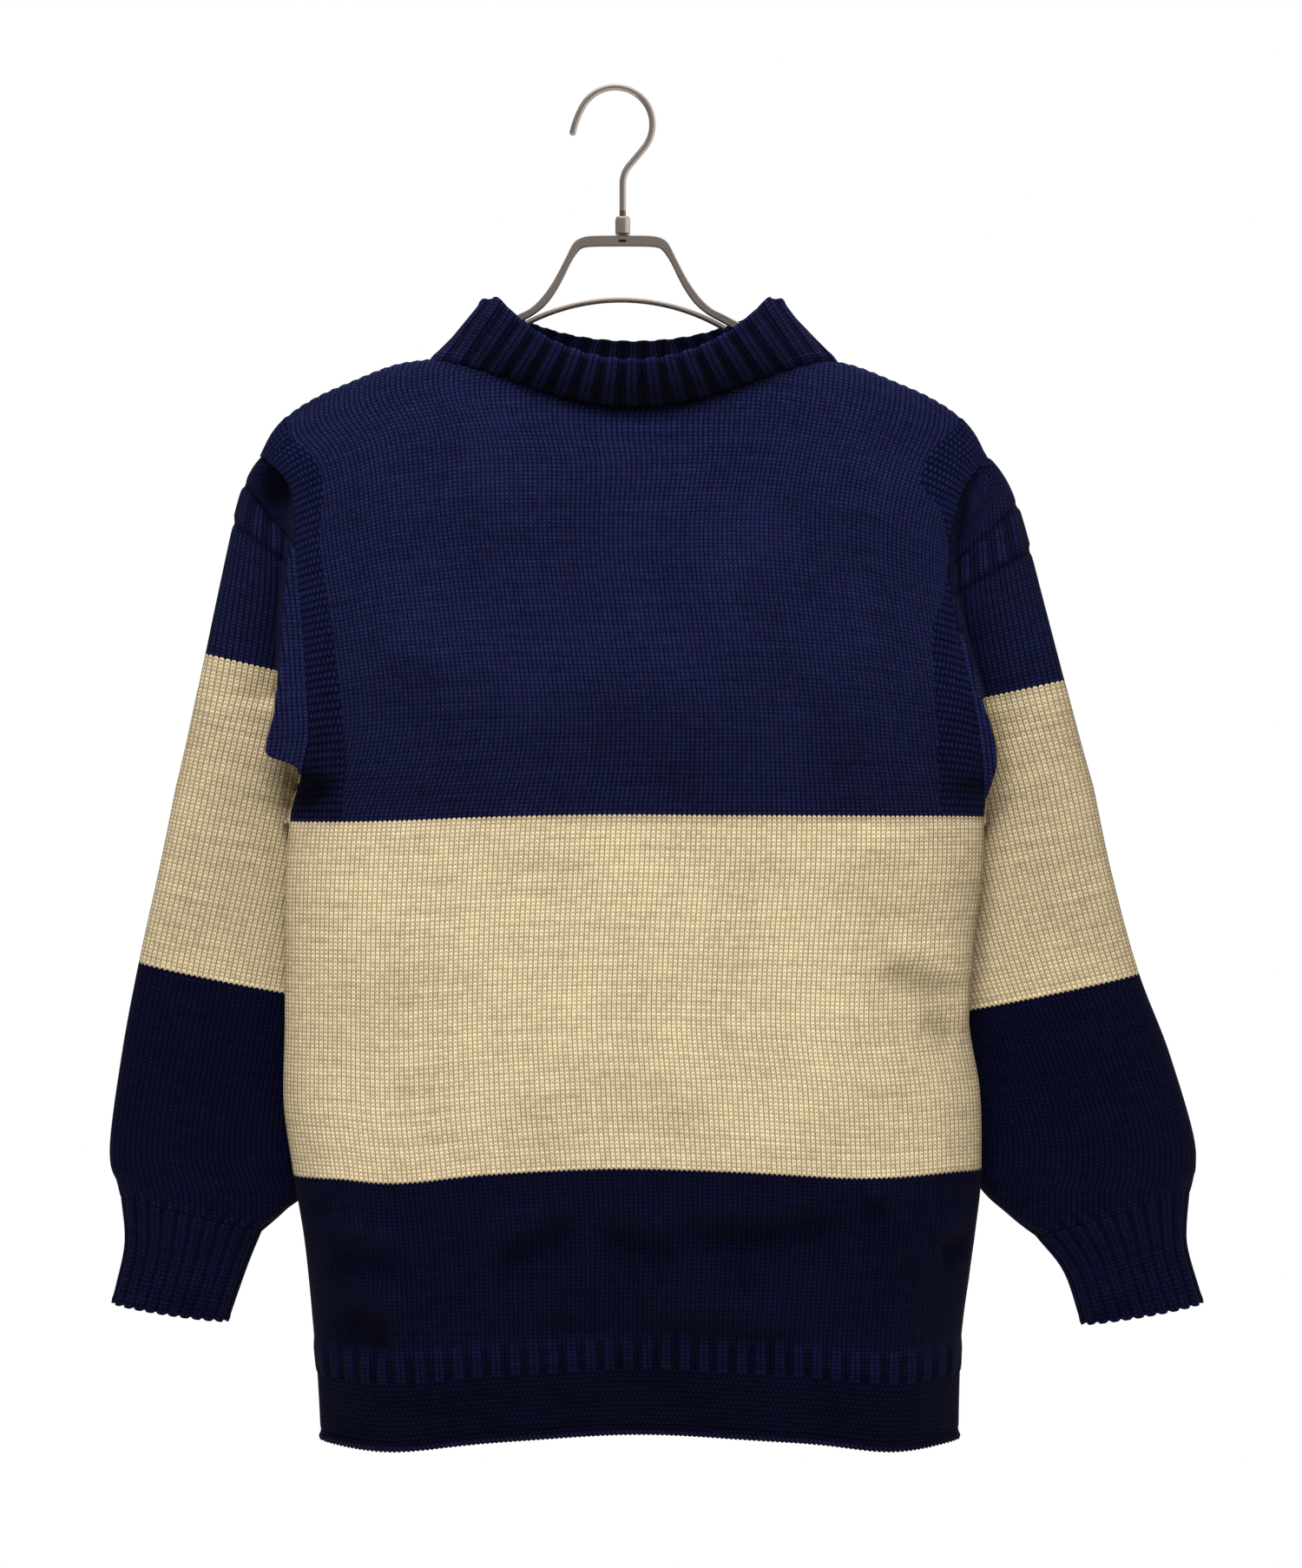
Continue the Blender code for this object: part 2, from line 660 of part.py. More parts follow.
def main():
    for old in list(bpy.data.objects):
        bpy.data.objects.remove(old, do_unlink=True)
    wool = material("striped_wool", (0.028, 0.032, 0.11), 0.9)
    navy = material("navy_wool", (0.022, 0.025, 0.09), 0.9)
    metal = material("brushed_metal", (0.42, 0.38, 0.34), 0.32, 1.0)

    knitted("front", panel_rows(-1), WALL, wool)
    knitted("back", panel_rows(1), WALL, wool)
    knitted("welt_front", welt_rows(-1), WALL, navy)
    knitted("welt_back", welt_rows(1), WALL, navy)
    knitted("neckband", collar_rows(), RIB_WALL, navy, tube=True)
    for side, name, cuff in ((-1, "left", CUFF_LEFT), (1, "right", CUFF_RIGHT)):
        knitted(f"sleeve_{name}", sleeve_rows(side), WALL, wool, tube=True)
        knitted(f"cuff_{name}", cuff_rows(cuff), WALL, navy, tube=True)
        knitted(f"gusset_{name}", gusset_rows(side), WALL, navy)
    wire("hanger_hook", hook_points(), WIRE_RADIUS, metal, [share for _, share in TIP_ROUND])
    ferrule("hanger_ferrule", metal)
    flat_bar("hanger_frame", metal)
    wire("hanger_rod", rod_points(), ROD_RADIUS, metal)


main()
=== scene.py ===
import math

import bmesh
import bpy
import numpy as np
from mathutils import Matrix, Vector


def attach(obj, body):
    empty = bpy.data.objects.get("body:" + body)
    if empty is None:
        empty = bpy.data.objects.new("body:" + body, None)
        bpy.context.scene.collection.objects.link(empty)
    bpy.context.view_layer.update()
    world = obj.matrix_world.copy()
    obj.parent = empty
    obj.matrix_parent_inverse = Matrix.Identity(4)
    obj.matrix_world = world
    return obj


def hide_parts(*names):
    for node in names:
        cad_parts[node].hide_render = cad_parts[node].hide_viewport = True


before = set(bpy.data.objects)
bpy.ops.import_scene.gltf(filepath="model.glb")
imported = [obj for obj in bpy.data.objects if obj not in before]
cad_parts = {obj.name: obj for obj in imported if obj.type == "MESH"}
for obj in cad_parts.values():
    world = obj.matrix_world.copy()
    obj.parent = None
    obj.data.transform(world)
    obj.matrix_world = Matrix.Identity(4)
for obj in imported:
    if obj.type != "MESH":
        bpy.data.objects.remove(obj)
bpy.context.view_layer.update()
print("frame loaded:", len(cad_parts), "nodes")

mm = 0.001
front, back = -1, 1
left, right = -1, 1
faces = {"front": front, "back": back}
sides = {"left": left, "right": right}

# One stitch of the body's plain knitting, in millimetres
gauge = {"wale": 3.37, "course": 2.5}
crowding = 1.35         # how much closer the rows lie toward the top of a panel or a sleeve


def clamp(value, low=0.0, high=1.0):
    return np.clip(value, low, high)


def smooth(value):
    value = clamp(value)
    return value * value * (3 - 2 * value)


def mix(a, b, share):
    return a + (b - a) * share


def bell(distance, width):
    return np.exp(-((distance / width) ** 2))


def below(z, level, height):
    # 0 above a level, rising to 1 over the given height under it
    return smooth((level - z) / height)


def along(table, column, at, key="z"):
    # a smooth curve through one column of a table, with no overshoot
    keys = np.array(table[key], float)
    values = np.array(table[column], float)
    if keys[0] > keys[-1]:
        keys, values = keys[::-1], values[::-1]
    at = np.clip(at, keys[0], keys[-1])
    i = np.clip(np.searchsorted(keys, at, side="right") - 1, 0, len(keys) - 2)
    rises = np.diff(values) / np.diff(keys)
    inner = np.where(rises[:-1] * rises[1:] <= 0, 0.0, (rises[:-1] + rises[1:]) / 2)
    slopes = np.concatenate([rises[:1], inner, rises[-1:]])
    step = keys[i + 1] - keys[i]
    t = (at - keys[i]) / step
    bend = (1 - t) * (slopes[i] - rises[i]) - t * (slopes[i + 1] - rises[i])
    return mix(values[i], values[i + 1], t) + step * t * (1 - t) * bend


def creaseRelief(creases, x, z):
    # soft troughs and ridges, each along a bowed line and fading at its ends
    relief = np.zeros_like(x)
    columns = ("x0", "z0", "x1", "z1", "bow", "width", "depth")
    for row in zip(*(creases[name] for name in columns)):
        x0, z0, x1, z1, bow, width, depth = row
        length = math.hypot(x1 - x0, z1 - z0)
        dx, dz = (x1 - x0) / length, (z1 - z0) / length
        t = ((x - x0) * dx + (z - z0) * dz) / length
        off = (z - z0) * dx - (x - x0) * dz - bow * 4 * t * (1 - t)
        ends = smooth(t / 0.3) * smooth((1 - t) / 0.3)
        relief += depth * ends * (bell(off, width) - 0.5 * bell(off - 1.8 * width, width))
    return relief


def ribWave(turns):
    # 1 on a rib and -1 in the furrow, with steep sides
    return np.tanh(2.2 * np.cos(2 * np.pi * turns)) / math.tanh(2.2)


def placed(name, data):
    made = bpy.data.objects.new(name, data)
    bpy.context.scene.collection.objects.link(made)
    return made


def gridNormals(points, face):
    wrapped, outward = points, np.array([0, face or 0, 0])
    if face is None:
        outward = points - points.mean(axis=1, keepdims=True)
        wrapped = np.concatenate([points[:, -2:-1], points, points[:, 1:2]], axis=1)
    normals = np.cross(np.gradient(wrapped, axis=1), np.gradient(wrapped, axis=0))
    if face is None:
        normals = normals[:, 1:-1]
    normals /= np.maximum(np.linalg.norm(normals, axis=2, keepdims=True), 1e-9)
    return normals * np.sign((normals * outward).sum())


def knitShell(name, points, wall, wales, courses, marks, face=None):
    # points are the middle of the wall: rows by columns by 3, in millimetres.
    # A sheet faces the front or the back, and a tube, which has no face, closes on itself.
    rows, columns = points.shape[:2]
    bm = bmesh.new()
    bmesh.ops.create_grid(bm, x_segments=columns - 1, y_segments=rows - 1, size=1)
    mesh = bpy.data.meshes.new(name)
    bm.to_mesh(mesh)
    bm.free()
    relief = marks.get("relief", np.zeros((rows, columns)))
    shaped = points + gridNormals(points, face) * relief[..., None]
    if face is None:
        shaped[:, -1] = shaped[:, 0]
    mesh.vertices.foreach_set("co", (shaped * mm).reshape(-1))
    corners = np.empty(len(mesh.loops), int)
    mesh.loops.foreach_get("vertex_index", corners)
    stitches = np.stack([wales, courses], axis=2).reshape(-1, 2)
    layer = mesh.uv_layers.new(name="stitches")
    layer.data.foreach_set("uv", stitches[corners].astype(np.float32).reshape(-1))
    for mark, values in marks.items():
        data = mesh.attributes.new(mark, "FLOAT", "POINT").data
        data.foreach_set("value", np.asarray(values, np.float32).reshape(-1))
    bm = bmesh.new()
    bm.from_mesh(mesh)
    if face is None:
        bmesh.ops.remove_doubles(bm, verts=bm.verts, dist=1e-7)
    for polygon in bm.faces:
        polygon.smooth = True
    for edge in bm.edges:
        edge.smooth = not edge.is_boundary
    bm.to_mesh(mesh)
    bm.free()
    mesh.update()
    piece = placed(name, mesh)
    solid = piece.modifiers.new("wall", "SOLIDIFY")
    solid.thickness = wall * mm
    solid.offset = 0.0
    solid.use_even_offset = False
    return piece


def dress(piece, node, slotName, finish, **sheet):
    piece.data.materials.append(finish)
    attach(piece, "root")
    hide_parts(node)


# Shader nodes

class Wire:
    # a socket: arithmetic on it adds Math nodes
    def __init__(self, tree, socket):
        self.tree = tree
        self.socket = socket

    def math(self, operation, *others, first=None):
        given = [self, *others] if first is None else [first, self]
        return addNode(self.tree, "ShaderNodeMath", {"operation": operation}, dict(enumerate(given)))

    def over(self, limit):
        return self.math("GREATER_THAN", limit)

    def clip(self):
        return self.math("MAXIMUM", 0.0).math("MINIMUM", 1.0)

    def wave(self):
        return self.math("SINE")

    def part(self):
        return self.math("FRACT")

    def whole(self):
        return self.math("FLOOR")


def operator(operation, reflected):
    def apply(wire, other):
        return wire.math(operation, first=other) if reflected else wire.math(operation, other)
    return apply


for name, operation in (("add", "ADD"), ("sub", "SUBTRACT"), ("mul", "MULTIPLY"),
                        ("truediv", "DIVIDE"), ("pow", "POWER")):
    setattr(Wire, f"__{name}__", operator(operation, False))
    setattr(Wire, f"__r{name}__", operator(operation, True))


def plug(tree, socket, value):
    if isinstance(value, Wire):
        tree.links.new(value.socket, socket)
    else:
        socket.default_value = value


def addNode(tree, kind, settings=None, sockets=None, output=0):
    # one node: its settings first, then the values or wires of its sockets
    made = tree.nodes.new(kind)
    for name, value in (settings or {}).items():
        setattr(made, name, value)
    for name, value in (sockets or {}).items():
        plug(tree, made.inputs[name], value)
    return Wire(tree, made.outputs[output])


class Finish:
    # the nodes of a material or of the surroundings, around its main shader
    def __init__(self, owner, shader="Principled BSDF"):
        owner.use_nodes = True
        self.owner = owner
        self.tree = owner.node_tree
        self.shader = self.tree.nodes[shader]

    def node(self, kind, settings=None, sockets=None, output=0):
        return addNode(self.tree, kind, settings, sockets, output)

    def set(self, **values):
        # the main shader's sockets, named with _ for each space
        for name, value in values.items():
            plug(self.tree, self.shader.inputs[name.replace("_", " ")], value)

    def blend(self, share, a, b):
        # colours a and b mixed
        return self.node("ShaderNodeMix", {"data_type": "RGBA"}, {0: share, 6: a, 7: b}, output=2)

    def scaled(self, colour, by):
        # a colour times a number, kept in colour
        colour = colour if isinstance(colour, Wire) else colour[:3]
        return self.node("ShaderNodeVectorMath", {"operation": "SCALE"}, {0: colour, "Scale": by})

    def mark(self, name):
        return self.node("ShaderNodeAttribute", {"attribute_name": name}, output=2)

    def axis(self, vector, axis):
        # x, y or z of a vector as 0, 1 or 2
        return self.node("ShaderNodeSeparateXYZ", sockets={0: vector}, output=axis)

    def joined(self, x, y):
        return self.node("ShaderNodeCombineXYZ", sockets={"X": x, "Y": y})

    def noise(self, x, y, scale=1.0, detail=2.0, roughness=0.5):
        # soft noise over two numbers
        sockets = {"Vector": self.joined(x, y), "Scale": scale, "Detail": detail, "Roughness": roughness}
        return self.node("ShaderNodeTexNoise", {"noise_dimensions": "2D"}, sockets)


woolLook = {
    # each yarn runs from deep, painted shade in the hollows of its stitches, to lit, painted light on
    # their crests; the lower navy is darker than the upper
    "upper": {"deep": (0.0003, 0.0006, 0.0070, 1), "lit": (0.0112, 0.0135, 0.0490, 1)},
    "lower": {"deep": (0.0002, 0.0003, 0.0018, 1), "lit": (0.0026, 0.0030, 0.0162, 1)},
    "cream": {"deep": (0.225, 0.166, 0.092, 1), "lit": (0.600, 0.500, 0.318, 1)},
    "plum": (0.0165, 0.0130, 0.048, 1),     # the warmer yarn that shows here and there
    "archFall": 0.55,       # how far a stitch's arch falls from its middle to its sides
    "crest": 0.62,          # where up a course the arch is lightest
    "bite": 2.0,            # how sharply the lit crests stand out
    "furrow": 0.36,         # where across a stitch the furrow between wales starts
    "sheen": 0.008,
    "sheenTint": (0.55, 0.55, 0.85, 1),
    "roughness": 0.92,
    "gloss": 0.05,
    "bump": 0.6,
    "bumpDepth": 0.0010,
    "fibre": 0.18,          # how far loose fibres roughen the bump
}


def plainStitches(wales, courses):
    # height of arched stitches, which also sets their painted shade, and the course that each point
    # belongs to
    side = (wales.part() - 0.5).math("ABSOLUTE") * 2
    arch = courses + side * side * woolLook["archFall"]
    crest = ((arch.part() - woolLook["crest"]) * (2 * math.pi)).math("COSINE") * 0.5 + 0.5
    furrow = (side - woolLook["furrow"]).math("MAXIMUM", 0.0) / (1 - woolLook["furrow"])
    # the hole where a stitch's legs part sits lower, so it also takes painted shade
    hole = (1 - side * 2.4).math("MAXIMUM", 0.0) * (1 - crest)
    height = (crest * 0.32 + 0.68) * (1 - furrow * furrow * 0.95) - hole * 0.4
    return height.clip(), arch.whole()


def purlBumps(wales, courses, every=1.0):
    # rows of purl bumps, staggered by half a stitch from row to row
    rows = courses / every
    crest = (rows.part() * math.pi).wave()
    beside = ((wales + rows.whole() * 0.5) * (2 * math.pi)).wave() * 0.5 + 0.5
    return (crest * 0.6 + 0.3) * (beside * 0.6 + 0.4)


def woolFinish(name, bands=None, pattern="plain", tone="lower"):
    # bands are the top and bottom courses of the cream yarn
    finish = Finish(bpy.data.materials.new(name))
    stitches = finish.node("ShaderNodeUVMap", {"uv_map": "stitches"})
    wales, courses = finish.axis(stitches, 0), finish.axis(stitches, 1)

    height, course = plainStitches(wales, courses)
    if pattern == "purl":
        height = purlBumps(wales, courses)
    else:
        inGarter = finish.mark("garter").over(0.0)
        height = height + (purlBumps(wales, courses, 2.0) - height) * inGarter

    # shade of each stitch, of each course's yarn, and slow patches
    stitch = finish.node("ShaderNodeTexWhiteNoise", {"noise_dimensions": "2D"},
                         {"Vector": finish.joined(wales.whole(), course)})
    streak = finish.noise(wales * 0.045, courses * 0.9, roughness=0.6)
    patch = finish.noise(wales * 0.05, courses * 0.035)
    blot = finish.noise(wales * 0.28, courses * 0.2)
    heather = (stitch - 0.5) * 0.3 + (streak - 0.5) * 0.7 + (patch - 0.5) * 0.45 + 1
    # painted light and shade that each piece marks: darker furrows, creases, hollows and sides turned
    # from the light, lighter ridges and edges
    paintedShading = (finish.mark("paintedShading") * 0.32 + 1).math("MAXIMUM", 0.12)

    def yarn(look, calm=1.0):
        # painted shade in the stitches' hollows and painted light on their crests
        shade = finish.blend(height ** woolLook["bite"], look["deep"], look["lit"])
        return finish.scaled(shade, ((heather - 1) * calm + 1) * paintedShading)

    def navyYarn(look):
        plum = finish.scaled(woolLook["plum"], look["lit"][2] / woolLook["plum"][2] * 0.85)
        warm = finish.blend(height ** woolLook["bite"], look["deep"], plum)
        share = (((blot - 0.58) * 5).clip() * 0.7 + finish.mark("rim")).clip()
        return finish.blend(share, yarn(look), finish.scaled(warm, heather * paintedShading))

    colour = navyYarn(woolLook[tone])
    if bands:
        top, bottom = bands
        lower = course.math("LESS_THAN", bottom)
        colour = finish.blend(lower, colour, navyYarn(woolLook["lower"]))
        inCream = course.math("LESS_THAN", top) * (1 - lower) * (1 - finish.mark("navy").over(0.0))
        colour = finish.blend(inCream, colour, yarn(woolLook["cream"], 0.7))
    fibre = finish.noise(wales, courses, scale=5.0, detail=3.0)
    bump = finish.node("ShaderNodeBump", sockets={
        "Strength": woolLook["bump"], "Distance": woolLook["bumpDepth"],
        "Height": height + fibre * woolLook["fibre"],
    })
    finish.set(Base_Color=colour, Normal=bump, Roughness=woolLook["roughness"],
               Specular_IOR_Level=woolLook["gloss"], Sheen_Weight=woolLook["sheen"],
               Sheen_Roughness=0.45, Sheen_Tint=woolLook["sheenTint"])
    return finish.owner


# Body: front and back panels and their welts

shoulder = {
    "reach": [0, 100, 124, 146, 176, 200, 216, 226, 233],
    "z": [-169, -170, -174.5, -178, -189.5, -200.5, -211.5, -223, -237],
    "middle": 1,
    "radius": 10,
}

body = {
    "z": [-237, -250, -262, -290, -310, -344, -380, -411, -440, -460,
          -474, -502, -550, -597, -645, -695, -740, -804, -826, -868],
    "left": [-223, -215, -210, -208, -206.5, -203, -200.5, -198.5, -204, -210.5,
             -213, -215.5, -216, -216, -217, -211, -203.5, -197, -195, -192],
    "right": [226, 223, 217, 209.5, 208.5, 213, 221, 227, 231, 232.5,
              232.5, 232, 226, 223, 230, 231, 226.5, 218, 217, 215.5],
    "flare": [8.5, 1.5] + [0] * 18,
    "front": [44, 44, 44, 44, 45, 45, 45, 45, 45, 45, 45, 45, 46, 46, 46, 45, 43, 40, 39, 37],
    "back": [39, 39, 39, 40, 40, 41, 41, 42, 42, 42, 42, 42, 42, 42, 41, 41, 40, 38, 37, 35],
    "gap": [28, 28, 28, 28, 28, 28, 28, 26, 18, 6] + [0.2] * 8 + [0.3, 6.5],
    "tipZ": -237,
    "underarmZ": -474,
    "rounds": (-400, 74),   # the sides round off below this level, over this height
    "chest": (-330, 130),   # the chest is painted in shade in the same way, darker downward
    "skirt": (-690, 20),    # and the creases deepen, with stronger painted shade
    "flareShare": 0.12,     # how much of the width the flare at an armhole moves
    "overRidge": 6,       # what the curve over the shoulder adds to a fall
    "seam": 0.2,
    "square": 2.6,
    "wall": 2.5,
    "wales": 148,
    "upperCourses": 122,
    "columns": 262,
    "upperRows": 78,
    "lowerRows": 98,
    "creamTop": 3,
    "creamBottom": -88,
    "garterEnd": 4,
    "garterZ": [-215, -237, -255, -275, -300, -322, -345, -380, -411, -447, -463, -474],
    "garterLeft": [9, 10.5, 10.5, 9, 8.2, 8.2, 8.3, 8, 8.4, 12, 14, 15],
    "garterRight": [9, 12.5, 12, 5, 0, 2, 7.5, 9.5, 10, 11.5, 12, 12],
    "shoulderRibs": 34,
    "ribsFrom": 7,          # wales between the armhole and the shoulder's ribs
    "ribBlocks": 19,
}

hem = {
    "z": -866,
    "welt": 42,
    "gap": 0.15,
    "wall": 2.6,
    "rows": 24,
    "course": 3.1,
    "start": -640,
    "face": [front, front, front, back, back, back],
    "x": [-152, 176, 12, -70, 96, 14],
    "width": [44, 38, 80, 52, 56, 40],
    "push": [17, 17, -13, 10, 11, -7],
    "drop": [4, 4, -4.5, 1.5, 1.5, -1],
}

neck = {
    "middle": 7.5,
    "half": 131.5,
    "margin": 6,
    "sideZ": -175,
    "drop": {front: 31, back: 20},
}

# Courses that hang low or ride high, by place across the front
courseSag = {
    "start": (-380, 60),    # a level, and the height under it where the sag sets in
    "turn": (-500, 150),    # the same for the change from the upper to the lower row
    "end": (-720, 80),
    "x": [-177, -149, -85, 2, 75, 160, 214],
    "upper": [4.5, 4, 1.5, 0, 0.5, 0.5, 0],
    "lower": [4.5, 6.2, 0, -4, -1.7, 2.8, 0.5],
}

frontCreases = {
    "x0": [-160, -198, 158, 188, -82, -20, 24, 150, 200,
           -185, -190, -10, -120, 60, -60, 120, -30],
    "z0": [-372, -446, -566, -598, -760, -728, -732, -718, -750,
           -790, -750, -798, -290, -330, -640, -520, -410],
    "x1": [-108, -178, 222, 214, -20, 44, 152, 172, 226,
           -140, -130, 130, -40, 150, 60, 190, 70],
    "z1": [-392, -450, -590, -614, -727, -742, -724, -722, -744,
           -806, -756, -808, -300, -318, -650, -500, -418],
    "bow": [3, 0, 4, 3, 6, -4, -5, 2, 3, 4, 3, 4, 3, -3, 4, 3, 3],
    "width": [9, 6, 11, 9, 11, 10, 11, 8, 9, 15, 12, 12, 16, 18, 14, 12, 16],
    "depth": [-1.8, -2.6, -3.6, -2.6, -3, -2.6, -3, -2.6, -2.4,
              -3, -2.4, -2.4, -1, -1, -1, -1.2, -0.9],
}

backCreases = {
    "x0": [150, -190, -205, 90, -20, -90, 60, 185, -120, 20],
    "z0": [-380, -455, -575, -735, -745, -780, -800, -560, -640, -300],
    "x1": [100, -165, -150, 20, -110, -160, 140, 210, -20, 110],
    "z1": [-398, -470, -600, -722, -752, -800, -792, -600, -628, -310],
    "bow": [3, 1, 4, 6, -5, 4, 4, 3, -4, 3],
    "width": [9, 7, 10, 9, 9, 12, 10, 10, 14, 16],
    "depth": [-1.6, -2, -2.4, -2.8, -2.6, -2.8, -2.4, -2, -1.1, -0.9],
}

# Deep hollows that little light reaches, painted in shade, and one patch of the skirt painted lighter:
# middle, half size, depth and how dark
bodyPockets = {
    "x": [-203, 224, -150, -172, 205],
    "z": [-450, -449, -736, -784, -770],
    "wide": [15, 16, 24, 26, 14],
    "high": [13, 5, 13, 32, 30],
    "deep": [1.4, 1, 0, 0, 0],
    "dark": [2.9, 1.3, -1.1, 0.45, 0.5],
}
sleevePockets = {
    "x": [-222, 212],
    "z": [-257, -264],
    "wide": [13, 10],
    "high": [18, 24],
    "deep": [5, 2],
    "dark": [2.2, 1.6],
}


def pocketed(pockets, x, z):
    # depth of the hollows at each point, and how dark their painted shade is
    deep, dark = np.zeros_like(x), np.zeros_like(x)
    columns = ("x", "z", "wide", "high", "deep", "dark")
    for middle, level, wide, high, depth, darkness in zip(*(pockets[name] for name in columns)):
        form = bell(x - middle, wide) * bell(z - level, high)
        deep += depth * form
        dark += darkness * form
    return deep, dark


def ridgeZ(x):
    return along(shoulder, "z", np.abs(x - shoulder["middle"]), key="reach")


def sideEdge(side, z):
    column = "left" if side < 0 else "right"
    return along(body, column, z) + side * along(body, "flare", z)


def flutes(face, x, column):
    rows = zip(hem["face"], hem["x"], hem["width"], hem[column])
    return sum(size * bell(x - at, width) for side, at, width, size in rows if side == face)


def bodyY(face, x, z):
    leftX, rightX = along(body, "left", z), along(body, "right", z)
    share = clamp(np.abs(2 * x - leftX - rightX) / (rightX - leftX))
    depth = along(body, "front" if face < 0 else "back", z)
    gap = along(body, "gap", z)
    power = mix(1.0, 0.5, below(z, *body["rounds"]))
    form = np.maximum(1 - share ** body["square"], 0.0) ** power
    run = below(z, hem["start"], hem["start"] - hem["z"])
    full = mix(gap, depth + run * flutes(face, x, "push"), form)
    drop = np.maximum(0.0, ridgeZ(x) - z)
    reach = np.sqrt(2 * shoulder["radius"] * drop) / depth
    hang = reach / (1 + reach ** 4) ** 0.25
    return face * np.maximum(body["seam"], full * hang)


def neckZ(face, x):
    share = clamp(np.abs(x - neck["middle"]) / neck["half"])
    return neck["sideZ"] - neck["drop"][face] * np.cos(share * math.pi / 2) ** 1.5


def byFace(face, measure, *given):
    # a measure of the front or of the back, by the face that each point is on
    return np.where(face < 0, measure(front, *given), measure(back, *given))


def hemZ(face, x):
    return hem["z"] - flutes(face, x, "drop")


def hemLine(face, shares):
    return hemZ(face, acrossBody(shares, np.full_like(shares, hem["z"])))


def acrossBody(share, z):
    part = body["flareShare"]
    near = clamp(1 - share / part) ** 2 - clamp(1 - (1 - share) / part) ** 2
    wide = mix(along(body, "left", z), along(body, "right", z), share)
    return wide - along(body, "flare", z) * near


def bodyPoints(face, shares, z):
    x = acrossBody(np.broadcast_to(shares, z.shape), z)
    return np.stack([x, bodyY(face, x, z), z], axis=2)


def arcShare(points):
    # how far round each row a point is, from 0 to 1
    steps = np.linalg.norm(np.diff(points, axis=1), axis=2)
    total = np.concatenate([np.zeros((len(points), 1)), np.cumsum(steps, axis=1)], axis=1)
    return total / total[:, -1:]


def pathDrop(drop):
    # a fall from the ridge, measured over the curve of the shoulder
    return drop + body["overRidge"] * (1 - np.exp(-drop / body["overRidge"]))


def bodyCourses(face, x, z):
    top = ridgeZ(x)
    fall = pathDrop(np.maximum(top - z, 0)) / pathDrop(top - body["underarmZ"])
    upper = body["upperCourses"] * (1 - fall)
    lower = (z - body["underarmZ"]) / gauge["course"]
    flat = np.where(z > body["underarmZ"], upper, lower)
    low = below(z, *courseSag["turn"])
    sag = mix(along(courseSag, "upper", x, "x"), along(courseSag, "lower", x, "x"), low)
    near = (1 - below(z, *courseSag["end"])) * below(z, *courseSag["start"])
    return flat + sag * near * (face < 0) / gauge["course"]


def panelPoints(face):
    shares = np.linspace(0, 1, body["columns"])[None, :]
    tipX = acrossBody(shares, np.full_like(shares, body["tipZ"]))
    inside = np.abs(tipX - neck["middle"]) < neck["half"]
    tops = np.where(inside, neckZ(face, tipX), ridgeZ(tipX))
    falls = (np.linspace(0, 1, body["upperRows"]) ** crowding)[:, None]
    upper = mix(tops, body["underarmZ"], falls)
    low = hemLine(face, shares) + hem["welt"] + hem["gap"]
    lower = mix(body["underarmZ"], low, np.linspace(0, 1, body["lowerRows"])[1:, None])
    z = np.concatenate([upper, lower])
    return bodyPoints(face, shares, z)


def garterWidth(x, z):
    # wales of garter stitch that show beside the armhole: the right ones narrow to none halfway down,
    # where the band turns in out of sight
    onLeft, onRight = (along(body, column, z, "garterZ") for column in ("garterLeft", "garterRight"))
    return np.where(x < shoulder["middle"], onLeft, onRight)


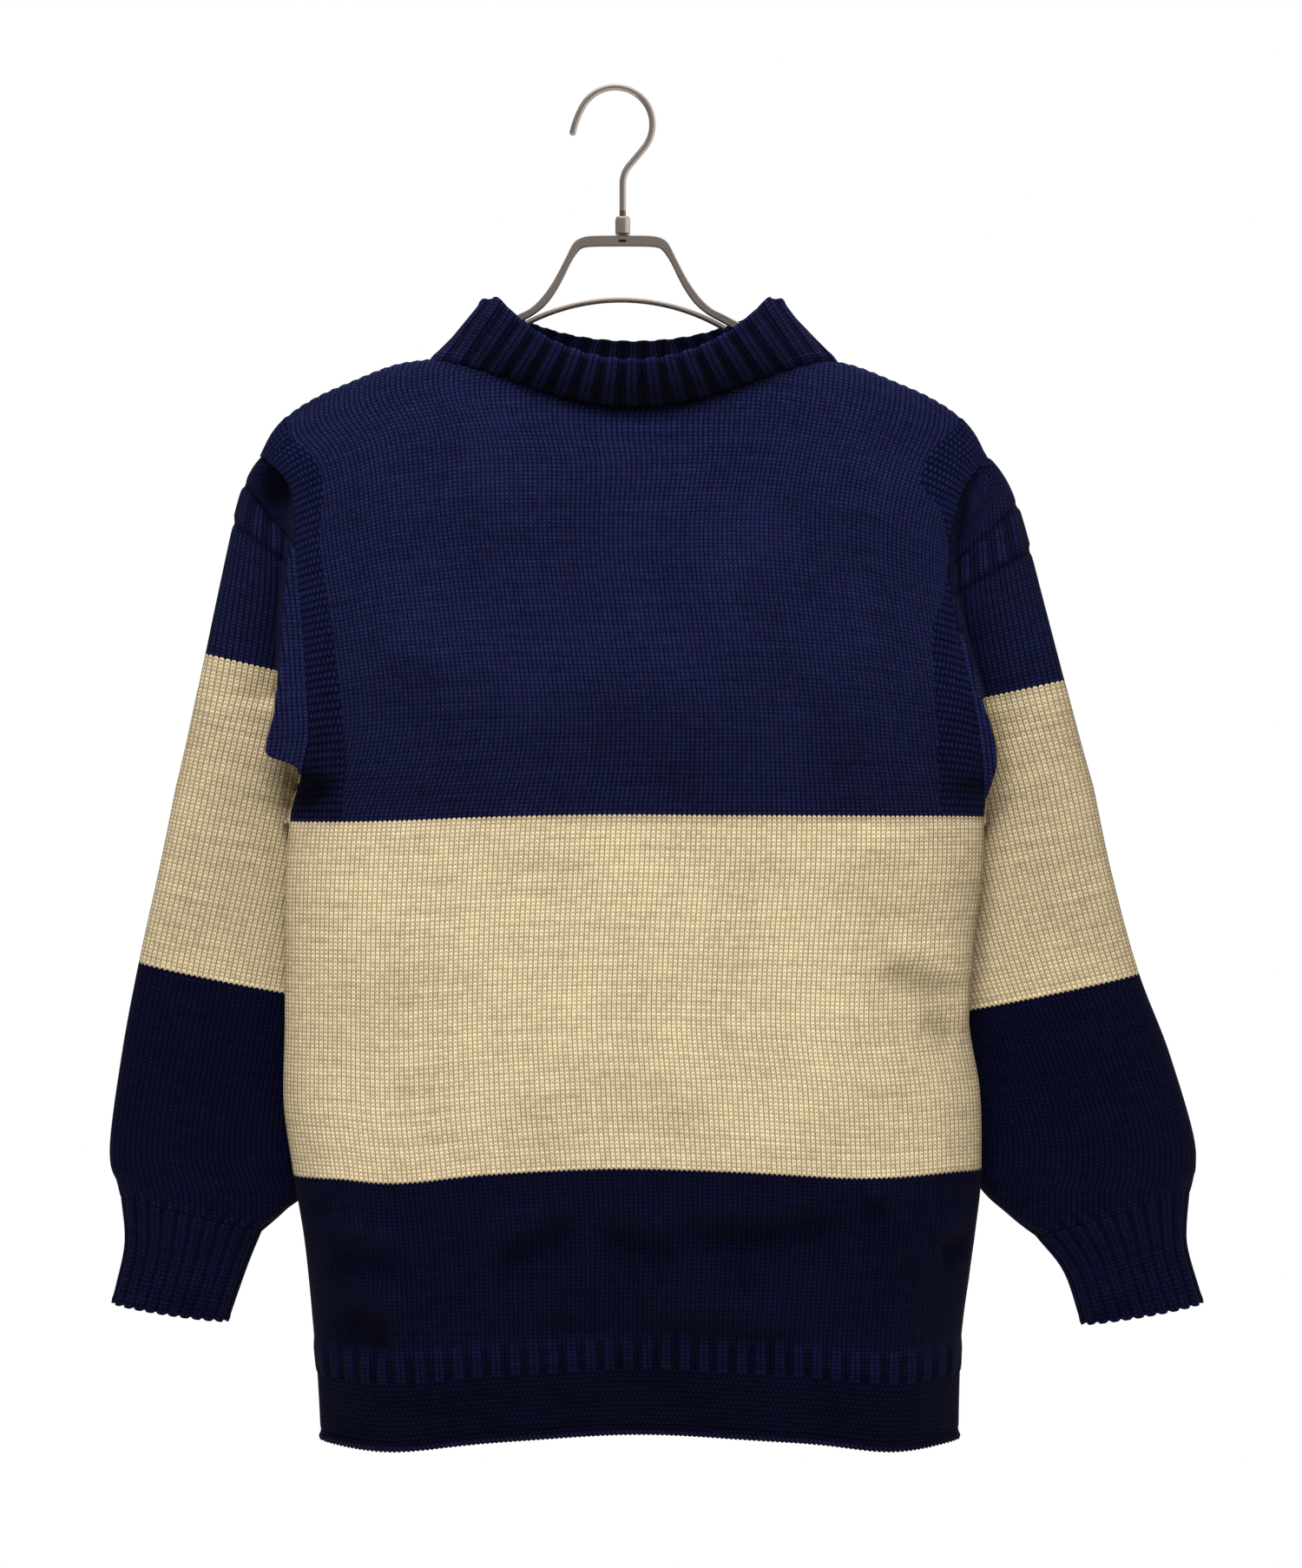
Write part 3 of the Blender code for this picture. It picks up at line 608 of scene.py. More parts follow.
def panelMarks(face, points, wales, courses):
    x, z = points[..., 0], points[..., 2]
    fromEdge = np.minimum(wales, body["wales"] - wales)
    fromTop = pathDrop(np.maximum(ridgeZ(x) - z, 0))
    outside = np.abs(x - neck["middle"]) - neck["half"] + neck["margin"]
    garter = np.minimum(garterWidth(x, z) - fromEdge, courses - body["garterEnd"])
    onShoulder = smooth(outside / neck["margin"]) * below(fromTop, body["shoulderRibs"], 4)
    onShoulder *= smooth((fromEdge - body["ribsFrom"]) / 1.5)
    aboveWelt = z - hemZ(face, x) - hem["welt"]
    inBlocks = below(aboveWelt, body["ribBlocks"], 2.5)
    blocks = ribWave(wales / 4)
    folds = creaseRelief(frontCreases if face < 0 else backCreases, x, z)
    skirt = below(z, *body["skirt"])
    folds *= 1 + 0.7 * skirt
    relief = folds.copy()
    relief += 0.5 * smooth(garter / 1.2)
    relief += 0.4 * onShoulder * np.cos(np.pi * wales)
    relief += inBlocks * (0.2 + 0.9 * blocks)
    relief += 0.5 * bell(aboveWelt - body["ribBlocks"], 1.6)
    relief -= 0.8 * bell(aboveWelt - 1.0, 1.6)
    # painted shade in the furrows of the rib blocks and shoulder ribs, painted light along the blocks'
    # top edge and on the loops at the welt, and painted shade in the groove above the welt
    paintedShading = inBlocks * (0.7 + 1.3 * blocks) + 0.45 * onShoulder * np.cos(np.pi * wales)
    paintedShading += (2.6 + 1.4 * blocks) * bell(aboveWelt - body["ribBlocks"] - 0.6, 1.7)
    paintedShading -= 1.6 * bell(aboveWelt - 3.0, 1.4)
    paintedShading += 3.0 * clamp(np.cos(2 * np.pi * wales)) * bell(aboveWelt - 0.9, 1.0)
    deep, dark = pocketed(bodyPockets, x, z)
    relief -= deep * (face < 0)
    # painted shade in the creases and the hollows, and over the garter band a little
    paintedShading += (0.24 + 0.05 * skirt) * folds - dark * (face < 0) - 0.1 * smooth(garter)
    # painted shade: the chest darker downward, the panel's sides darker below the underarm where they
    # turn away, and a painted shadow of the collar under the neckline
    paintedShading -= 0.9 * below(z, *body["chest"]) * (z > body["underarmZ"]) * (face < 0)
    middle = (along(body, "left", z) + along(body, "right", z)) / 2
    paintedShading -= 0.5 * clamp(np.abs(x - middle) / 215) ** 5 * (z < body["underarmZ"])
    fromSide = neck["half"] - np.abs(x - neck["middle"])
    paintedShading -= 2.3 * bell(neckZ(face, x) - z, 7) * smooth(fromSide / 60) * (face < 0)
    return {"relief": relief, "garter": garter, "paintedShading": paintedShading}


def buildPanels(wool):
    for name, face in faces.items():
        points = panelPoints(face)
        wales = arcShare(points) * body["wales"]
        courses = bodyCourses(face, points[..., 0], points[..., 2])
        marks = panelMarks(face, points, wales, courses)
        piece = knitShell(f"{name}_panel", points, body["wall"], wales, courses, marks, face)
        dress(piece, name, "striped_wool", wool, flat=(0.50, 0.66), area=0.318)


def buildWelts(wool):
    for name, face in faces.items():
        shares = np.linspace(0, 1, body["wales"] * 4 + 1)[None, :]
        low = hemLine(face, shares)
        falls = np.linspace(0, 1, hem["rows"])[:, None]
        z = mix(low + hem["welt"], low, falls)
        points = bodyPoints(face, shares, z)
        wales = arcShare(points) * body["wales"]
        courses = (z - low) / hem["course"] + 0 * wales
        edge = bell(z - low - 1.6, 1.9)
        scallops = np.cos(2 * np.pi * wales)
        relief = (0.8 + 0.5 * scallops) * edge - 0.7 * bell(z - low - 5.4, 1.3)
        points[..., 2] -= 0.55 * scallops * bell(z - low, 2.2)
        # painted light on the cord along the hem and painted shade in the groove above it
        paintedShading = (3.0 + 1.6 * scallops) * edge - 1.5 * bell(z - low - 5.2, 1.2)
        marks = {"relief": relief, "paintedShading": paintedShading, "rim": edge * 0.9}
        piece = knitShell(f"{name}_welt", points, hem["wall"], wales, courses, marks, face)
        dress(piece, f"welt_{name}", "navy_wool", wool, flat=(0.44, 0.042))


# Collar

collar = {
    "topHalf": 98,
    "sideTop": -138,
    "depth": {front: 46, back: 33},
    "top": {front: -180, back: -157.5},
    "sag": 1.1,             # how fast the top edge falls past the plateau at each side
    "plateau": 0.5,
    "bulge": {front: 20, back: 4},
    "bulgeDrop": {front: 6, back: -12},
    "peak": 6,
    "sunk": 2.5,            # how far the base sinks at the shoulders
    "gap": 0.6,
    "wall": 3,
    "ribs": 38,
    "ribWales": 4,
    "courses": 21,
    "columns": 400,
    "rows": 30,
}


def evenTurns(ring, count):
    # turns from 0 to 1 that are evenly spaced along a ring, and the ring's length at any turn
    turns = np.linspace(0, 1, 2001)
    points = ring(turns[None, :])[0]
    steps = np.linalg.norm(np.diff(points, axis=0), axis=1)
    lengths = np.concatenate([[0], np.cumsum(steps)]) / steps.sum()
    even = np.interp(np.linspace(0, 1, count), lengths, turns)
    return even, lambda turn: np.interp(turn, turns, lengths)


def collarPoints(turns, rise):
    turn = 2 * math.pi * turns
    rise = rise[..., None]
    side, around = np.cos(turn), np.sin(turn)
    face = np.where(around < 0, front, back)
    depth, top, bulge, drop = (byFace(face, collar[name].get)
                               for name in ("depth", "top", "bulge", "bulgeDrop"))
    x = neck["middle"] + neck["half"] * side
    lowZ = byFace(face, neckZ, x)
    lowY = byFace(face, bodyY, x, lowZ) * clamp(np.abs(around) / 0.08)
    low = np.stack([x, lowY, lowZ + collar["gap"] - collar["sunk"] * np.abs(side) ** 8], axis=2)
    turned = np.abs(around) ** 1.3
    past = clamp((np.abs(around) - collar["plateau"]) / (1 - collar["plateau"]))
    high = np.stack([
        neck["middle"] + collar["topHalf"] * side,
        face * depth * np.abs(around) ** 0.9,
        mix(collar["sideTop"], top, past ** collar["sag"]),
    ], axis=2)
    high[..., 2] -= collar["peak"] * bell(around, 0.15)
    middle = (low + high) / 2
    middle[..., 1] += face * bulge * turned
    middle[..., 2] -= drop * turned
    return low * (1 - rise) ** 2 + middle * 2 * rise * (1 - rise) + high * rise ** 2


def buildCollar(wool):
    halfway = np.full((1, 1), 0.5)
    even, _ = evenTurns(lambda turns: collarPoints(turns, halfway), collar["columns"] + 1)
    rise = np.linspace(1, 0, collar["rows"])[:, None]
    points = collarPoints(even[None, :], rise)
    turns, fall = np.broadcast_arrays(np.linspace(0, 1, len(even))[None, :], 1 - rise)
    ribs = ribWave(turns * collar["ribs"])
    relief = ribs * 0.8 * smooth((1.02 - fall) / 0.12)
    relief += 0.9 * bell(fall - 0.02, 0.035)
    # ridges of the picked-up edge show beside the shoulders, painted lighter; painted shade lies in the
    # ribs' furrows and over the collar's front and back away from the sides, darkest at its foot, with
    # painted light along the top edge
    around = np.sin(2 * math.pi * even)[None, :]
    beside = bell(around + 0.35, 0.3) * bell(fall - 0.86, 0.05)
    relief += 0.9 * beside
    leaning = smooth(np.abs(around) / 0.9)
    paintedShading = 0.6 * ribs - 2.1 * leaning + 0.9 * beside
    paintedShading -= (0.2 + 1.0 * leaning) * bell(fall - 0.97, 0.04)
    paintedShading += 2.0 * bell(fall - 0.02, 0.04) * leaning
    wales = turns * collar["ribs"] * collar["ribWales"] + 1.0
    courses = (1 - fall) * collar["courses"]
    piece = knitShell("collar_rib", points, collar["wall"], wales, courses,
                      {"relief": relief, "paintedShading": paintedShading})
    dress(piece, "neckband", "navy_wool", wool, flat=(0.50, 0.045))


# Sleeves, cuffs and gussets

sleeves = {
    left: {
        "outerX": [-286, -297, -310, -321, -328.5, -324, -321],
        "outerY": [4, 3, 1, -1, -3, -3, -3],
        "outerZ": [-449, -502, -562, -622, -684, -703, -712],
        "innerX": [-214, -198, -193, -193, -204, -219, -234],
        "innerY": [44, 48, 47, 42, 28, 14, 5],
        "innerZ": [-466, -523, -587, -648, -706, -723, -735],
        "thick": [46, 48, 48, 47, 44, 40, 33],
        "headBulge": 9,
        "creamTop": -363,
        "creamBottom": -562,
        "ladder": (-256, -277.5),
        "tipGarter": (-272, -0.12),       # above this line, the level at x 0 and the slope
        "strip": [0, 1, 6, 12, 15.5, 17, 3, 0],
    },
    right: {
        "outerX": [303, 315, 332, 353, 369, 367.5, 364.5],
        "outerY": [4, 3, 1, -1, -3, -3, -3],
        "outerZ": [-449, -505, -568, -624, -686, -700, -709],
        "innerX": [229, 216, 210, 215, 231, 252, 269],
        "innerY": [44, 48, 47, 42, 28, 14, 5],
        "innerZ": [-468, -530, -597, -655, -704, -726, -738],
        "thick": [46, 48, 49, 50, 46, 40, 33],
        "headBulge": 12.5,
        "creamTop": -380,
        "creamBottom": -568,
        "ladder": (-269, -295.5),
        "tipGarter": (-402, 0.665),
        "strip": [0, 0, 1, 2, 3.5, 5, 2, 0],
    },
    "stripZ": [-237, -285, -315, -345, -375, -390, -400, -474],
    "stripEnd": -400,
    "stripLean": 0.12,
    "tiltZ": [-237, -256, -280, -320, -363, -450, -700],
    "tilt": [58, 42, 33, 20, 12.5, 12, 12],
    "faceReach": {front: 14, back: 22},
    "fold": 8,
    "tuck": 13,
    "tuckHeight": 9,
    "gussetTop": -392,
    "bulgeStart": 0.06,
    "underarmBulge": 6,
    "gap": 0.3,
    "columns": 192,
    "headRows": 74,
    "armRows": 92,
    "cuffRows": 16,         # the last of these rows take on the cuff's ribs
    "closer": 1.03,         # how much closer the courses lie than on the body
    "wall": 2.5,
}


def armholeLevel(step):
    # 0 at the shoulder tip, 8 at the gusset, 12 at the underarm
    tip, gusset = body["tipZ"], sleeves["gussetTop"]
    upper = tip - (tip - gusset) * (clamp(step, 0, 8) / 8) ** 1.4
    return upper - (gusset - body["underarmZ"]) * clamp((step - 8) / 4)


def armholeStart(side, face, z):
    x = sideEdge(side, z)
    slope = sideEdge(side, z - 1) - x
    length = np.hypot(1, slope)
    y = byFace(face, bodyY, x, z)
    tucked = below(z, sleeves["gussetTop"], sleeves["tuckHeight"]) * sleeves["tuck"]
    y = face * np.maximum(0.0, np.abs(y) - tucked * (z > body["underarmZ"]))
    out = sleeves["gap"] + 0.1 * tucked
    return np.stack([x + side * out / length, y, z + side * out * slope / length], axis=2)


def headBulge(side, fall):
    # how far the sleeve's head stands out; fall is 0 at the shoulder tip and 1 at the head's end
    return side * sleeves[side]["headBulge"] * (1 - fall) * (1 - np.exp(-fall / sleeves["bulgeStart"]))


def headFold(side, z):
    # how far down the head a height is, and x of the outer fold there
    form = sleeves[side]
    fall = clamp((body["tipZ"] - z) / (body["tipZ"] - form["outerZ"][0]))
    tip = sideEdge(side, np.array(body["tipZ"]))
    return fall, mix(tip, form["outerX"][0], fall) + headBulge(side, fall)


def stripWidth(side, z):
    return along({"z": sleeves["stripZ"], "wide": sleeves[side]["strip"]}, "wide", z)


def headY(side, face, x, z):
    form = sleeves[side]
    edge = sideEdge(side, z)
    fall, outer = headFold(side, z)
    strip = stripWidth(side, z)
    distance = np.maximum(0.0, side * (x - edge))
    start = armholeStart(side, face, z)[..., 1]
    stripY = face * np.maximum(0.0, np.abs(start) - sleeves["stripLean"] * distance)
    room = np.maximum(4.0, side * (outer - edge) - strip)
    share = clamp((distance - strip) / room)
    middle = fall * fall * mix(form["innerY"][0], form["outerY"][0], share)
    reach = byFace(face, sleeves["faceReach"].get)
    faceY = middle + face * reach * (4 * share * (1 - share)) ** 0.55
    return mix(stripY, faceY, smooth((distance - strip) / sleeves["fold"]))


def ringPoints(form, at, turn):
    # at is a place along the table's sections; turn is 0 at the inner fold, a quarter in front
    at, turn = np.broadcast_arrays(at, turn)
    index = {"row": list(range(len(form["outerX"]))), **form}

    def column(name):
        return along(index, name, at, key="row")

    outer = np.stack([column("outerX"), column("outerY"), column("outerZ")], axis=2)
    inner = np.stack([column("innerX"), column("innerY"), column("innerZ")], axis=2)
    half = (inner - outer) / 2
    ahead = np.stack([half[..., 1], -np.abs(half[..., 0]), 0 * at], axis=2)
    ahead[..., 0] *= np.sign(half[..., 0])
    ahead *= (column("thick") / 2 / np.linalg.norm(ahead, axis=2))[..., None]
    angle = 2 * math.pi * turn[..., None]
    return (outer + inner) / 2 + half * np.cos(angle) + ahead * np.sin(angle)


def sleevePoints(side):
    form = sleeves[side]
    columns = sleeves["columns"] + 1
    turn = np.linspace(0, 1, columns)[None, :]
    step = (np.linspace(0, 1, sleeves["headRows"]) ** crowding)[:, None]
    turn, step = np.broadcast_arrays(turn, step)
    face = np.where(turn < 0.5, front, back)
    level = armholeLevel(np.abs(12 - 24 * turn))
    start = armholeStart(side, face, level)
    atEnds = bell(turn - 0.5, 0.004) + bell(turn, 0.004) + bell(turn - 1, 0.004)
    start[..., 1] *= 1 - clamp(atEnds)
    end = ringPoints(form, 0, turn)
    head = mix(start, end, step[..., None])
    nearTip = smooth((level - body["underarmZ"]) / (body["tipZ"] - body["underarmZ"]))
    head[..., 0] += headBulge(side, step) * nearTip
    head[..., 0] += side * sleeves["underarmBulge"] * (1 - nearTip) * np.sin(math.pi * step)
    modelled = headY(side, face, head[..., 0], head[..., 2])
    inner = clamp(np.minimum(level - body["underarmZ"], body["tipZ"] - level) / 0.5)
    shaped = mix(modelled, head[..., 1], smooth((step - 0.55) / 0.45))
    head[..., 1] = mix(head[..., 1], shaped, inner * (step > 0))
    last = len(form["outerX"]) - 1
    at = np.linspace(0, last, sleeves["armRows"])[1:, None]
    armTurn = np.broadcast_to(np.linspace(0, 1, columns)[None, :], (len(at), columns))
    arm = ringPoints(form, at, armTurn)
    return np.concatenate([head, arm]), np.concatenate([face, np.where(armTurn < 0.5, front, back)])


def outerFold(side, z):
    # x and y of the sleeve's outer fold at a height
    form = sleeves[side]
    fall, head = headFold(side, z)
    onArm = z < form["outerZ"][0]
    x = np.where(onArm, along(form, "outerX", z, key="outerZ"), head)
    y = np.where(onArm, along(form, "outerY", z, key="outerZ"), fall * form["outerY"][0])
    return x, y


leftOut = -5.0          # a mark below 0 leaves a point out
farCourses = 1000       # past every cream course, so that the wool stays navy
foldWale = 200          # the wale along a sleeve's outer fold
farWales = 400


def sleeveStitches(side, points, face):
    # courses fall inward from the outer fold, and wales cross them
    x, y, z = points[..., 0], points[..., 1], points[..., 2]
    foldX, foldY = outerFold(side, z)
    inward = np.maximum(0.0, side * (foldX - x))
    tilts = {"z": sleeves["tiltZ"], "tilt": sleeves["tilt"]}
    foldZ = z
    for _ in range(4):
        foldZ = z + inward * np.tan(np.radians(along(tilts, "tilt", foldZ)))
        foldZ = np.minimum(foldZ, body["tipZ"] + 8)
    tilt = np.radians(along(tilts, "tilt", foldZ))
    chord = np.hypot(inward, y - foldY)
    wales = -face * chord / np.cos(tilt) / gauge["wale"] + foldWale
    return wales, foldZ


def sleeveCourse(z):
    return (z - body["tipZ"]) / gauge["course"] * sleeves["closer"]


def buildSleeves(wools):
    for name, side in sides.items():
        form = sleeves[side]
        points, face = sleevePoints(side)
        wales, foldZ = sleeveStitches(side, points, face)
        z = points[..., 2]
        edge = sideEdge(side, z)
        strip = stripWidth(side, z)
        distance = np.maximum(0.0, side * (points[..., 0] - edge))
        rows = np.arange(len(points))[:, None]
        inHead = rows < sleeves["headRows"]
        # how far each point is inside the strip that folds in beside the armhole
        beside = np.minimum(strip + 0.35 * sleeves["fold"] - distance, (strip - 1.5) * 2)
        beside = np.where(inHead, np.minimum(beside, z - sleeves["stripEnd"]), leftOut)
        navy = np.where(face < 0, beside, leftOut)
        inStrip = (beside > 1.5) & ((face < 0) | (foldZ > form["creamTop"] + 4))
        courses = sleeveCourse(foldZ)
        top, bottom = form["ladder"]
        ladder = below(foldZ, top, 2.5) * smooth((foldZ - bottom) / 2.5) * ~inStrip
        rungs = np.tanh(2.6 * (np.cos(np.pi / 2 * wales) - 0.3))
        lines = (bell(foldZ - top - 1.5, 2.4) + bell(foldZ - bottom + 1.5, 2.4)) * ~inStrip
        deep, dark = pocketed(sleevePockets, points[..., 0], z)
        relief = ladder * (0.15 + 0.55 * rungs) - 0.9 * lines - deep * (face < 0)
        atCuff = smooth((rows - len(points)) / sleeves["cuffRows"] + 1)
        _, shareAt = evenTurns(lambda turns: cuffRing(side, turns), 2)
        ribs = ribWave(shareAt(np.linspace(0, 1, points.shape[1]))[None, :] * cuffs["ribs"])
        relief = relief + atCuff * 0.7 * ribs
        # painted light on the ladder's rungs and the cuff end's ribs, painted shade between them, along
        # the lines above and below the ladder, and in the hollows
        paintedShading = ladder * rungs * 0.65 + atCuff * (0.3 + ribs) - 1.3 * lines - dark * (face < 0)
        # the sleeves lie further back, out of the light
        paintedShading -= 0.6 * (foldZ > form["creamBottom"]) * ~inStrip
        paintedShading -= 0.4 * (foldZ > form["creamTop"]) * ~inStrip
        low, slope = form["tipGarter"]
        garter = np.where(inHead, z - low - slope * points[..., 0], leftOut)
        courses = np.where((garter > 0) | inStrip, z / gauge["course"] + farCourses, courses)
        wales = np.where(inStrip, distance / gauge["wale"] + farWales, wales)
        marks = {"relief": relief, "paintedShading": paintedShading, "garter": garter, "navy": navy}
        piece = knitShell(f"{name}_sleeve", points, sleeves["wall"], wales, courses, marks)
        dress(piece, f"sleeve_{name}", "striped_wool", wools[side],
              flat=(0.49, 0.50), area=0.118)


cuffs = {
    left: {
        "outerX": [-320.5, -318, -326], "outerY": [-3, -3, -4], "outerZ": [-712.4, -740, -781],
        "innerX": [-234.5, -243, -255], "innerY": [5, 0, -4], "innerZ": [-735.4, -757, -792],
        "thick": [33, 29, 30],
    },
    right: {
        "outerX": [364, 362, 372.5], "outerY": [-3, -3, -4], "outerZ": [-709.4, -738, -781],
        "innerX": [269.5, 287, 298], "innerY": [5, 0, -4], "innerZ": [-738.4, -761, -794],
        "thick": [33, 29, 30],
    },
    "ribs": 22,
    "ribWales": 3,
    "courses": 28,
    "columns": 264,
    "rows": 34,
    "wall": 2.8,
}


def cuffRing(side, turns):
    return ringPoints(cuffs[side], 0, turns)


def buildCuffs(wool):
    for name, side in sides.items():
        even, _ = evenTurns(lambda turns: cuffRing(side, turns), cuffs["columns"] + 1)
        at, turn = np.broadcast_arrays(np.linspace(0, 2, cuffs["rows"])[:, None], even[None, :])
        points = ringPoints(cuffs[side], at, turn)
        fall = at / 2
        shares = np.broadcast_to(np.linspace(0, 1, len(even))[None, :], at.shape)
        ribs = ribWave(shares * cuffs["ribs"])
        relief = 0.7 * ribs + 0.5 * bell(fall - 0.975, 0.03)
        ends = points[-1:] - points[-2:-1]
        ends /= np.linalg.norm(ends, axis=2, keepdims=True)
        points = points + ends * (0.6 * ribs * smooth((fall - 0.86) / 0.14))[..., None]
        # painted shade in the ribs' furrows, and painted light along the top edge of the ribs
        paintedShading = ribs + 1.0 * bell(fall - 0.02, 0.03) * (ribs > 0)
        wales = shares * cuffs["ribs"] * cuffs["ribWales"] + 1.0
        courses = (1 - fall) * cuffs["courses"]
        piece = knitShell(f"{name}_cuff", points, cuffs["wall"], wales, courses,
                          {"relief": relief, "paintedShading": paintedShading})
        dress(piece, f"cuff_{name}", "navy_wool", wool, flat=(0.19, 0.07))


gussets = {
    left: {"z": [-387, -400, -410, -418, -424, -428, -431, -434, -440],
           "reach": [19, 21, 24, 25.8, 26, 23, 13, 5, 1]},
    right: {"z": [-387, -400, -410, -418, -426, -434, -441, -448, -455],
            "reach": [4, 6, 7.6, 8.6, 9, 8.2, 6, 3.2, 0.8]},
    "z": [-387, -410, -428, -447],
    "lean": [7.5, 8, 7.5, 4.5],
    "gap": 0.4,
    "ahead": 1.2,       # how far in front of the strip it lies
    "emerge": 4,      # over this height it comes out of the strip
    "cut": {left: (0.056, 0.055), right: (0.032, 0.055)},
    "rows": 34,
    "columns": 44,
    "wall": 2.5,
}


def buildGussets(wool):
    for name, side in sides.items():
        ear = gussets[side]
        z = np.linspace(ear["z"][0], ear["z"][-1], gussets["rows"])[:, None]
        turn = np.linspace(0, math.pi, gussets["columns"])[None, :]
        z, turn = np.broadcast_arrays(z, turn)
        edge = sideEdge(side, z)
        root = bodyY(front, edge, z)
        out = along(ear, "reach", z) * np.maximum(np.sin(turn), 0) ** 0.8
        behind = smooth((turn - math.pi / 2) / (math.pi / 2))
        sunk = 1 - below(z, ear["z"][0], gussets["emerge"])
        y = root + sleeves["stripLean"] * out - gussets["ahead"] * (1 - 1.5 * sunk)
        y = y + behind * (along(gussets, "lean", z) + gussets["ahead"])
        x = edge + side * (gussets["gap"] + out)
        points = np.stack([x, y, z - 1.0 * np.sin(turn)], axis=2)
        wales = out / gauge["wale"] + farWales + 12 * (turn > math.pi / 2)
        courses = z / gauge["course"] + farCourses
        piece = knitShell(f"{name}_gusset", points, gussets["wall"], wales, courses, {}, front)
        dress(piece, f"gusset_{name}", "navy_wool", wool, flat=gussets["cut"][side])


# Hanger

hanger = {
    "x": 0.8,
    "wire": 2.1,
    "crown": 24,
    "crownX": -4,
    "slant": 40,          # degrees below +X where the crown runs out
    "crownEnd": 150,
    "tail": 59,
    "tailTurn": 20,
    "bend": 18.5,
    "shankEnd": -91,
    "rod": 1.7,
    "rodX": -0.4,
    "rodApex": -135.2,
    "rodArc": 131,
    "rodReach": 67,
    "ferrule": {
        "radius": [2.5, 4.3, 4.8, 4.8, 4.8, 4.65, 4.3, 3.7, 2.5],
        "z": [-92.7, -92.7, -92.3, -88, -84.2, -82.9, -82, -81.5, -81.5],
    },
    "sides": 32,
}


def arc(middle, radius, start, end, steps):
    angle = np.radians(np.linspace(start, end, steps + 1))
    x = middle[0] + radius * np.cos(angle)
    return np.stack([x, 0 * angle, middle[1] + radius * np.sin(angle)], axis=1)


def hookPath():
    # tail, crown, slanting run, reverse bend and shank, each tangent to the next
    crown = (hanger["crownX"], hanger["wire"] - hanger["crown"])
    end, slant = math.radians(hanger["crownEnd"]), math.radians(hanger["slant"])
    shift = hanger["tail"] - hanger["crown"]
    tailMiddle = (crown[0] - shift * math.cos(end), crown[1] - shift * math.sin(end))
    tip = hanger["crownEnd"] + hanger["tailTurn"]
    rounded = tip - math.degrees(hanger["wire"] / hanger["tail"])
    over = arc(crown, hanger["crown"], hanger["crownEnd"], -hanger["slant"], 64)
    run = (over[-1, 0] - hanger["x"] - hanger["bend"] * (1 - math.cos(slant))) / math.sin(slant)
    bendZ = over[-1, 2] - run * math.cos(slant) - hanger["bend"] * math.sin(slant)
    bend = arc((hanger["x"] + hanger["bend"], bendZ), hanger["bend"], 180 - hanger["slant"], 180, 16)
    return np.concatenate([
        arc(tailMiddle, hanger["tail"], tip, rounded, 8)[:-1],
        arc(tailMiddle, hanger["tail"], rounded, hanger["crownEnd"], 16)[:-1],
        over, bend, [(hanger["x"], 0, hanger["shankEnd"])],
    ])


def rodPath():
    reach = math.degrees(math.asin(hanger["rodReach"] / hanger["rodArc"]))
    middle = (hanger["rodX"], hanger["rodApex"] - hanger["rodArc"])
    return arc(middle, hanger["rodArc"], 90 + reach, 90 - reach, 60)


def roundPiece(name, rings):
    # rings of points, each closed, joined in turn
    bm = bmesh.new()
    rows, columns = rings.shape[:2]
    bmesh.ops.create_grid(bm, x_segments=columns - 1, y_segments=rows - 1, size=1)
    for vert, place in zip(bm.verts, rings.reshape(-1, 3)):
        vert.co = Vector(place) * mm
    bmesh.ops.remove_doubles(bm, verts=bm.verts, dist=1e-7)
    bmesh.ops.recalc_face_normals(bm, faces=bm.faces)
    for face in bm.faces:
        face.smooth = True
    mesh = bpy.data.meshes.new(name)
    bm.to_mesh(mesh)
    bm.free()
    mesh.set_sharp_from_angle(angle=math.radians(40))
    return placed(name, mesh)


def roundBar(name, path, radius):
    # a bar of the given radius at each point of a path that lies across the hanger
    ahead = np.gradient(path, axis=0)
    ahead /= np.linalg.norm(ahead, axis=1, keepdims=True)
    up = np.stack([-ahead[:, 2], 0 * ahead[:, 0], ahead[:, 0]], axis=1)
    path, up = np.concatenate([path[:1], path, path[-1:]]), np.concatenate([up[:1], up, up[-1:]])
    radius = np.concatenate([[0], radius, [0]])[:, None, None]
    turn = np.linspace(0, 2 * math.pi, hanger["sides"] + 1)[None, :, None]
    spokes = up[:, None] * np.cos(turn) + np.array([0, 1, 0]) * np.sin(turn)
    return roundPiece(name, path[:, None] + radius * spokes)


def buildHook(finish):
    path = hookPath()
    steps = np.linalg.norm(np.diff(path, axis=0), axis=1)
    fromTip = np.concatenate([[0], np.cumsum(steps)])
    share = clamp(fromTip / hanger["wire"])
    radius = hanger["wire"] * np.sqrt(1 - (1 - share) ** 2)
    dress(roundBar("hook_wire", path, radius), "hanger_hook", "brushed_metal", finish)


def buildRod(finish):
    path = rodPath()
    radius = np.full(len(path), hanger["rod"])
    dress(roundBar("rod_wire", path, radius), "hanger_rod", "brushed_metal", finish)


def buildFerrule(finish):
    form = hanger["ferrule"]
    radius, z = (np.array(form[name] + form[name][:1])[:, None] for name in ("radius", "z"))
    turn = np.linspace(0, 2 * math.pi, hanger["sides"] + 1)[None, :]
    rings = [hanger["x"] + radius * np.cos(turn), radius * np.sin(turn), z + 0 * turn]
    ring = roundPiece("ferrule_ring", np.stack(rings, axis=2))
    dress(ring, "hanger_ferrule", "brushed_metal", finish)


